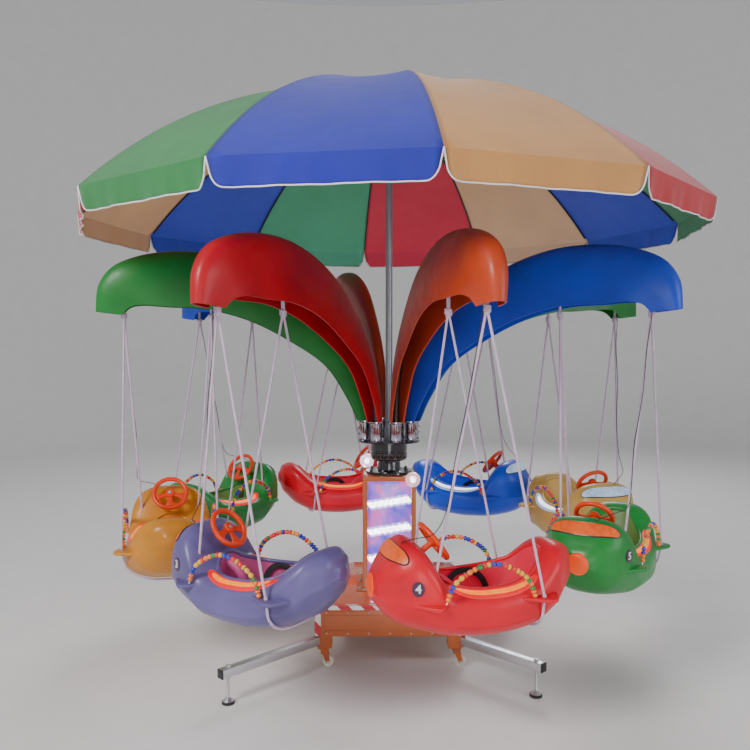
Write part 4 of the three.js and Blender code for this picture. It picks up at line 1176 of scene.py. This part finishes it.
def on_pad(pad, side, s, t):
    """A pad's upper face: s runs from the inner to the outer edge, t from front to rear."""
    inner, outer, rise, first, last, _ = pad
    reach = math.sin(math.pi / 2 * (2 * t - 1))
    wide = math.sqrt(max(0.0, 1 - abs(reach) ** STRIP_ENDS))
    across = -math.cos(math.pi * s)
    turn = math.radians(first + (last - first) * (reach + 1) / 2)
    grow = (inner + outer) / 2 + (outer - inner) / 2 * across * wide
    swell = math.sqrt(max(0.0, 1 - across ** 2)) * wide
    return on_gunwale(side * turn, grow, rise * swell - STRIP_EMBED)


def by_light(cold, warm):
    """Chooses a piece's finishes by its seat: cold ones on the blue and tan seats."""
    return lambda k: cold if SEAT_ORDER[k] in COLD_SEATS else warm


bm = bmesh.new()
for side in (-1, 1):
    for pad in STRIP_PADS:
        give_finish(grid_to(bm, 12, 48, lambda s, t: on_pad(pad, side, s, t)), pad[-1])
bmesh.ops.remove_doubles(bm, verts=bm.verts, dist=1e-5)
thicken(bm, 0.0012)
copy_to_seats(bm, "light_strip", "lit_panel", by_light([cold_core, cold_edge], [amber_core, red_edge]))

# Nose lamps and screens
# A lit orange dome is fitted over the tip of the nose. A lit acrylic band with round ends wraps the front
# of the head, as a boat's windscreen would. Both are cold white on the blue and tan seats.
LAMP_AT = (0.3622, 0, 0.186)
LAMP_RADIUS = 0.045
LAMP_REACH = 0.0158
nose_glow = glow_of("nose_lamp", (1.0, 0.085, 0.006), 0.65)
nose_pale = glow_of("pale_nose_lamp", (0.70, 0.88, 1.0), 0.8)
bm = bmesh.new()
flatten = Matrix.Translation(LAMP_AT) @ Matrix.Diagonal((LAMP_REACH / LAMP_RADIUS, 1, 1, 1))
bmesh.ops.create_icosphere(bm, subdivisions=5, radius=LAMP_RADIUS, matrix=flatten)
copy_to_seats(bm, "nose_lamp", "orange_plastic", by_light([nose_pale], [nose_glow]))

screen_glow = glow_of("screen_glow", (1.0, 0.13, 0.010), 0.50, 0.3, 40.0)
pale_screen = glow_of("pale_screen", (0.55, 0.74, 1.0), 0.50, 0.3, 40.0)
screen_frame = finish_of("screen_frame", (0.02, 0.02, 0.025), 0.35, coat=0.3)
SCREEN_AT = 0.297
SCREEN_HALF = 0.021
SCREEN_TURN = 56
SCREEN_SWEEP = 0.036
SCREEN_LIFT = 0.0012
SCREEN_ENDS = 5
SCREEN_PARTS = 36
SCREEN_SEAL = 0.0034


def on_screen(s, t):
    """The band across the head's front slope, from one side to the other, round at both ends."""
    reach = math.sin(math.pi / 2 * (2 * t - 1))
    turn = math.radians(90 + SCREEN_TURN * reach)
    wide = math.sqrt(max(0.0, 1 - abs(reach) ** SCREEN_ENDS))
    x = SCREEN_AT + SCREEN_HALF * (2 * s - 1) * wide - SCREEN_SWEEP * math.cos(turn) ** 2
    return on_tub(x, turn, SCREEN_LIFT)


bm = bmesh.new()
grid_to(bm, 8, 56, on_screen)
bmesh.ops.remove_doubles(bm, verts=bm.verts, dist=1e-5)
thicken(bm, -0.0030)
copy_to_seats(bm, "screen", "lit_panel", by_light([pale_screen], [screen_glow]), crease=60)
bm = bmesh.new()
shares = [i / SCREEN_PARTS for i in range(SCREEN_PARTS + 1)]
edge_line = [on_screen(1, t) for t in shares] + [on_screen(0, t) for t in reversed(shares[1:-1])]
run_tube(bm, edge_line, SCREEN_SEAL, 8, closed=True)
copy_to_seats(bm, "screen_seal", "black_paint", [screen_frame])

# Number badges
# A dark oval plate of moulded plastic is stuck on the outer side of each head. Its plain white number
# stands up a little.
SEAT_NUMBERS = "45678123"
BADGE_AT = (0.236, 0.212)
BADGE_RADIUS = 0.026
BADGE_OVAL = 0.86
BADGE_PLATE = 0.005
BADGE_TURN = -18
NUMBER_SIZE = 0.042
NUMBER_RAISE = 0.0006
NUMBER_WEIGHT = 0.0010
badge_dark = finish_of("badge_dark", (0.045, 0.008, 0.05), 0.36, coat=0.4)
badge_white = finish_of("badge_white", (0.80, 0.80, 0.82), 0.4)
badge_y = on_tub(BADGE_AT[0], math.asin(0.05)).y
facing_out = Matrix(((-1, 0, 0, 0), (0, 0, 1, 0), (0, 1, 0, 0), (0, 0, 0, 1)))
badge_place = Matrix.Translation((BADGE_AT[0], badge_y - 0.003, BADGE_AT[1]))
badge_frame = badge_place @ turned(BADGE_TURN) @ facing_out
bm = bmesh.new()
add_post(bm, (0, 0, 0), BADGE_PLATE, BADGE_RADIUS, 48)
bmesh.ops.scale(bm, vec=(BADGE_OVAL, 1.0, 1.0), verts=bm.verts)
bmesh.ops.transform(bm, matrix=badge_frame, verts=bm.verts)
copy_to_seats(bm, "badge", "black_paint", [badge_dark])
on_plate = badge_frame @ Matrix.Translation((0, 0, BADGE_PLATE + 0.0008))
for k, number in enumerate(SEAT_NUMBERS):
    words = bpy.data.curves.new("number", "FONT")
    words.body = number
    words.size = NUMBER_SIZE
    words.extrude = NUMBER_RAISE
    words.offset = NUMBER_WEIGHT
    words.align_x = "CENTER"
    words.align_y = "CENTER"
    holder = bpy.data.objects.new("number", words)
    bpy.context.collection.objects.link(holder)
    bpy.context.view_layer.update()
    drawn = bpy.data.meshes.new_from_object(holder.evaluated_get(bpy.context.evaluated_depsgraph_get()))
    bm = bmesh.new()
    bm.from_mesh(drawn)
    bpy.data.objects.remove(holder)
    bmesh.ops.remove_doubles(bm, verts=bm.verts, dist=1e-6)
    bmesh.ops.transform(bm, matrix=seat_place(k) @ on_plate, verts=bm.verts)
    make_piece(bm, f"number_{k + 1}", f"seat_{k + 1}", [badge_white], crease=30)

# Steering wheels
# A toy steering wheel of bright orange plastic turns on a stub column in the back of each head. Its upper
# half is open, and three broad spokes join its boss, which has one bolt, to the sides and the bottom of
# its thick rim.
WHEEL_AT = (0.125, 0, 0.333)
WHEEL_TILT = 36.7
WHEEL_RADIUS = 0.0765
WHEEL_ROD = 0.0105
SPOKE_HALF = 0.0045
COLUMN_FOOT, COLUMN_LENGTH, COLUMN_RADIUS = -0.126, 0.118, 0.0115
wheel_frame = Matrix.Translation(WHEEL_AT) @ Matrix.Rotation(math.radians(WHEEL_TILT - 90), 4, "Y")
wheel_orange = finish_of("wheel_orange", (0.80, 0.050, 0.004), 0.38, coat=0.15, drift=0.10, specular=0.4)
# Each spoke's direction and half its spread, in degrees from the top of the wheel.
SPOKES = ((108, 15), (180, 17), (252, 15))
# Half of a spoke's outline: the radius, and how far round the spoke reaches, against its own spread.
SPOKE_OUTLINE = ((0.012, 2.6), (0.030, 1.25), (0.050, 0.95), (0.070, 1.15))


def circle(radius, parts, axis):
    """Points on a circle round an axis, from +X on."""
    return [Matrix.Rotation(math.tau * i / parts, 3, axis) @ Vector((radius, 0, 0)) for i in range(parts)]


bm = bmesh.new()
run_tube(bm, circle(WHEEL_RADIUS, 48, "Z"), WHEEL_ROD, 16, closed=True)
for middle, spread in SPOKES:
    corners = [(radius, middle - spread * wide) for radius, wide in SPOKE_OUTLINE]
    corners += [(radius, middle + spread * wide) for radius, wide in reversed(SPOKE_OUTLINE)]
    corners = [turned(angle) @ Vector((radius, 0, -SPOKE_HALF)) for radius, angle in corners]
    eased_plate(bm, corners, 2 * SPOKE_HALF, 0.002, 2)
spun(bm, [(0.0, -0.012), (0.017, -0.012), (0.022, -0.008), (0.022, 0.007), (0.019, 0.011), (0.0, 0.013)], 32)
add_post(bm, (0, 0, COLUMN_FOOT), COLUMN_LENGTH, COLUMN_RADIUS)
bmesh.ops.transform(bm, matrix=wheel_frame, verts=bm.verts)
copy_to_seats(bm, "wheel", "orange_plastic", [wheel_orange], "steering_wheel")
bm = bmesh.new()
add_post(bm, (0, 0, 0.0120), 0.0025, 0.0085)
add_post(bm, (0, 0, 0.0140), 0.0045, 0.0055, 6)
bmesh.ops.transform(bm, matrix=wheel_frame, verts=bm.verts)
copy_to_seats(bm, "wheel_bolt", "bright_steel", [zinc])

# Rope slings
# Four pale braided ropes hold each seat. They leave two knots as steep pairs, the front ropes go into the
# head and the rear ropes pass through the fins and under the tub. A doubled rope and a steel eye hang
# each knot from the arm.
KNOT = (0, 0.196, 1.645 - KEEL)
REAR_ANCHOR = (-0.223, 0.208, 0.159)
FRONT_ANCHOR = (0.165, 0.130, 0.212)
ROPE = 0.0050
UNDER_PARTS = 24
# The knot's lumps: a radius and a height from the knot's middle.
KNOT_LUMPS = ((0.0125, 0.004), (0.0145, -0.006), (0.0105, -0.020))
KNOT_SQUASH = Matrix.Diagonal((1.05, 0.85, 0.75, 1))
STRAP_SPREAD = (0.0030, 0.0045)
STRAP_TOP = ARM_LEVEL - KEEL - 0.022
EYE_RADIUS, EYE_ROD = 0.0208, 0.0042
EYE_LEVEL = ARM_LEVEL - KEEL - 0.0026


def braided(name, colour):
    """Braided rope: slanting strands all along it, a little fuzzy."""
    finish = finish_of(name, colour, 0.8, drift=0.10, drift_scale=30.0)
    strands = {"Vector": own_place(finish), "Scale": 55.0, "Distortion": 1.5}
    add_bump(finish, add_node(finish, "TexWave", strands, "Fac", bands_direction="DIAGONAL"), 0.6, 0.0015)
    set_shader(finish, {"Sheen Weight": 0.2})
    return finish


def on_side(point, side):
    """A point given for the outer side, or its mirror on the side of the hub."""
    return Vector((point[0], side * point[1], point[2]))


pale_rope = braided("pale_rope", (0.60, 0.47, 0.62))
bm = bmesh.new()
for side in (-1, 1):
    knot = on_side(KNOT, side)
    rear = on_side(REAR_ANCHOR, side)
    for anchor in (on_side(FRONT_ANCHOR, side), rear):
        run_tube(bm, [knot, knot.lerp(anchor, 0.5), anchor], ROPE, 10)
    for strand in (-1, 1):
        low, high = [strand * spread for spread in STRAP_SPREAD]
        run_tube(bm, [(low, knot.y, knot.z), (high, knot.y, STRAP_TOP)], ROPE, 10)
    for radius, height in KNOT_LUMPS:
        place = Matrix.Translation(knot + Vector((0, 0, height))) @ KNOT_SQUASH
        bmesh.ops.create_uvsphere(bm, u_segments=18, v_segments=10, radius=radius, matrix=place)
    for lap in range(3):
        loop = [knot + Vector((0.0115 * x, 0.010 * y, 0.003 * x + 0.008 * lap - 0.012))
                for x, y, _ in circle(1, 20, "Z")]
        run_tube(bm, loop, ROPE * 0.9, 8, closed=True)
    add_post(bm, rear + Vector((0, 0, 0.0015)), 0.0085, 0.0075, 16, 0.0055)
below_fin = Vector((0, 0, -0.002))
under = [on_side(REAR_ANCHOR, 1) + below_fin]
for i in range(UNDER_PARTS + 1):
    under.append(on_tub(REAR_ANCHOR[0], -math.pi * (0.06 + 0.88 * i / UNDER_PARTS), 0.0085))
under.append(on_side(REAR_ANCHOR, -1) + below_fin)
run_tube(bm, under, ROPE, 10)
copy_to_seats(bm, "ropes", "rope", [pale_rope], "rope_sling")

bm = bmesh.new()
for side in (-1, 1):
    centre = Vector((0, side * KNOT[1], EYE_LEVEL))
    run_tube(bm, [centre + point for point in circle(EYE_RADIUS, 32, "Y")], EYE_ROD, 12, closed=True)
copy_to_seats(bm, "sling_eyes", "bright_steel", [zinc])

# Bead grips
# A cord threaded with bright wooden beads arches over each gunwale as a handhold. Its ends are anchored
# low on the tub's sides, and the beads follow in no set order.
random.seed(7)
BEAD_TONES = {"bead_red": (0.80, 0.03, 0.03), "bead_orange": (0.90, 0.22, 0.02),
              "bead_yellow": (0.82, 0.46, 0.04), "bead_green": (0.02, 0.27, 0.06),
              "bead_blue": (0.02, 0.04, 0.46), "white_cord": (0.80, 0.76, 0.72)}
bead_finishes = [finish_of(name, colour, 0.20, coat=0.5) for name, colour in BEAD_TONES.items()]
GRIP_LINE = [(0.146, 0.160), (0.112, 0.232), (0.020, 0.284), (-0.068, 0.284), (-0.158, 0.232),
             (-0.192, 0.160)]
grip_path = smooth_path([(x, 0, z) for x, z in GRIP_LINE], 10)
lengths = [0.0]
for near, far in zip(grip_path, grip_path[1:]):
    lengths.append(lengths[-1] + (far - near).length)


def on_grip(distance):
    """A place and direction on the grip's line at a distance from its front end."""
    i = max(1, next((n for n, total in enumerate(lengths) if total >= distance), len(lengths) - 1))
    share = (distance - lengths[i - 1]) / (lengths[i] - lengths[i - 1])
    return grip_path[i - 1].lerp(grip_path[i], share), (grip_path[i] - grip_path[i - 1]).normalized()


GRIP_OUT = 0.2035
GRIP_CORD = 0.0025
BEAD_GAP = 0.001
BEAD_LENGTHS = (0.012, 0.014, 0.017, 0.022)
SHORT_BEAD = 0.016
SHORT_RADIUS, LONG_RADIUS = 0.0106, 0.0096
BARE_START, BARE_END = 0.010, 0.008
bm = bmesh.new()
for side in (-1, 1):
    sideways = Vector((0, side * GRIP_OUT, 0))
    run_tube(bm, [p + sideways for p in grip_path], GRIP_CORD, 8, finish=5)
    position = BARE_START
    while position < lengths[-1] - BARE_END:
        bead_length = random.choice(BEAD_LENGTHS)
        radius = SHORT_RADIUS if bead_length < SHORT_BEAD else LONG_RADIUS
        spot, along = on_grip(min(position + bead_length / 2, lengths[-1]))
        stretch = Matrix.Diagonal((1, 1, bead_length / radius / 1.8, 1))
        place = Matrix.Translation(spot + sideways) @ facing_along(along) @ stretch
        bead = bmesh.ops.create_uvsphere(bm, u_segments=12, v_segments=8, radius=radius, matrix=place)
        give_finish(bead["verts"], random.randrange(5))
        position += bead_length + BEAD_GAP
copy_to_seats(bm, "bead_grips", "orange_plastic", bead_finishes, crease=70)

# Lap belts
# A black webbing belt lies in each cockpit, looped up against both side walls, with a plain plastic
# buckle in the middle.
webbing = finish_of("black_webbing", (0.012, 0.012, 0.013), 0.75, grain=0.5, grain_scale=700)
SIDE_BELT = [(-0.140, 0.100, 0.060), (-0.122, 0.118, 0.130), (-0.085, 0.125, 0.166), (-0.020, 0.127, 0.172),
             (0.022, 0.116, 0.140), (0.036, 0.100, 0.075)]
LAP_BELT = [(-0.128, -0.112, 0.080), (-0.085, -0.060, 0.056), (-0.050, 0, 0.054), (-0.085, 0.060, 0.056),
            (-0.128, 0.112, 0.080)]
BELT_HALF, BELT_FLAT = 0.0120, 0.12
LAP_HALF, LAP_FLAT = 0.0115, 0.14
BUCKLE, BUCKLE_AT = (0.045, 0.030, 0.012), (-0.050, 0.0, 0.058)
bm = bmesh.new()
for side in (-1, 1):
    run_tube(bm, smooth_path([on_side(p, side) for p in SIDE_BELT], 6), BELT_HALF, 12, flat=BELT_FLAT,
             up=Vector((0, 1, 0)))
run_tube(bm, smooth_path(LAP_BELT, 6), LAP_HALF, 12, flat=LAP_FLAT)
add_block(bm, BUCKLE, BUCKLE_AT, 0.003)
copy_to_seats(bm, "lap_belt", "black_paint", [webbing])

# Lamp wires
# A thin black wire to each seat's lamps is tied along the outer front rope, from above its knot down, and
# dips into the top of the head.
wire_black = finish_of("wire_black", (0.01, 0.01, 0.012), 0.5)
WIRE_RADIUS = 0.0016
# How far down the rope the wire is tied to it, as shares of the rope's length.
WIRE_TIES = (0.15, 0.35, 0.55, 0.72)
WIRE_END = [(0.172, 0.150, 0.400), (0.225, 0.100, 0.372), (0.258, 0.050, 0.350), (0.262, 0.045, 0.335)]
knot, front = Vector(KNOT), Vector(FRONT_ANCHOR)
wire = [knot + Vector((0.012, 0, 0.060)), knot + Vector((0.018, 0.004, -0.02))]
for share in WIRE_TIES:
    wire.append(knot.lerp(front, share) + Vector((0.008, 0.006 * math.sin(share * 21), 0)))
bm = bmesh.new()
run_tube(bm, smooth_path(wire + [Vector(p) for p in WIRE_END], 8), WIRE_RADIUS, 8)
copy_to_seats(bm, "lamp_wire", "black_paint", [wire_black])
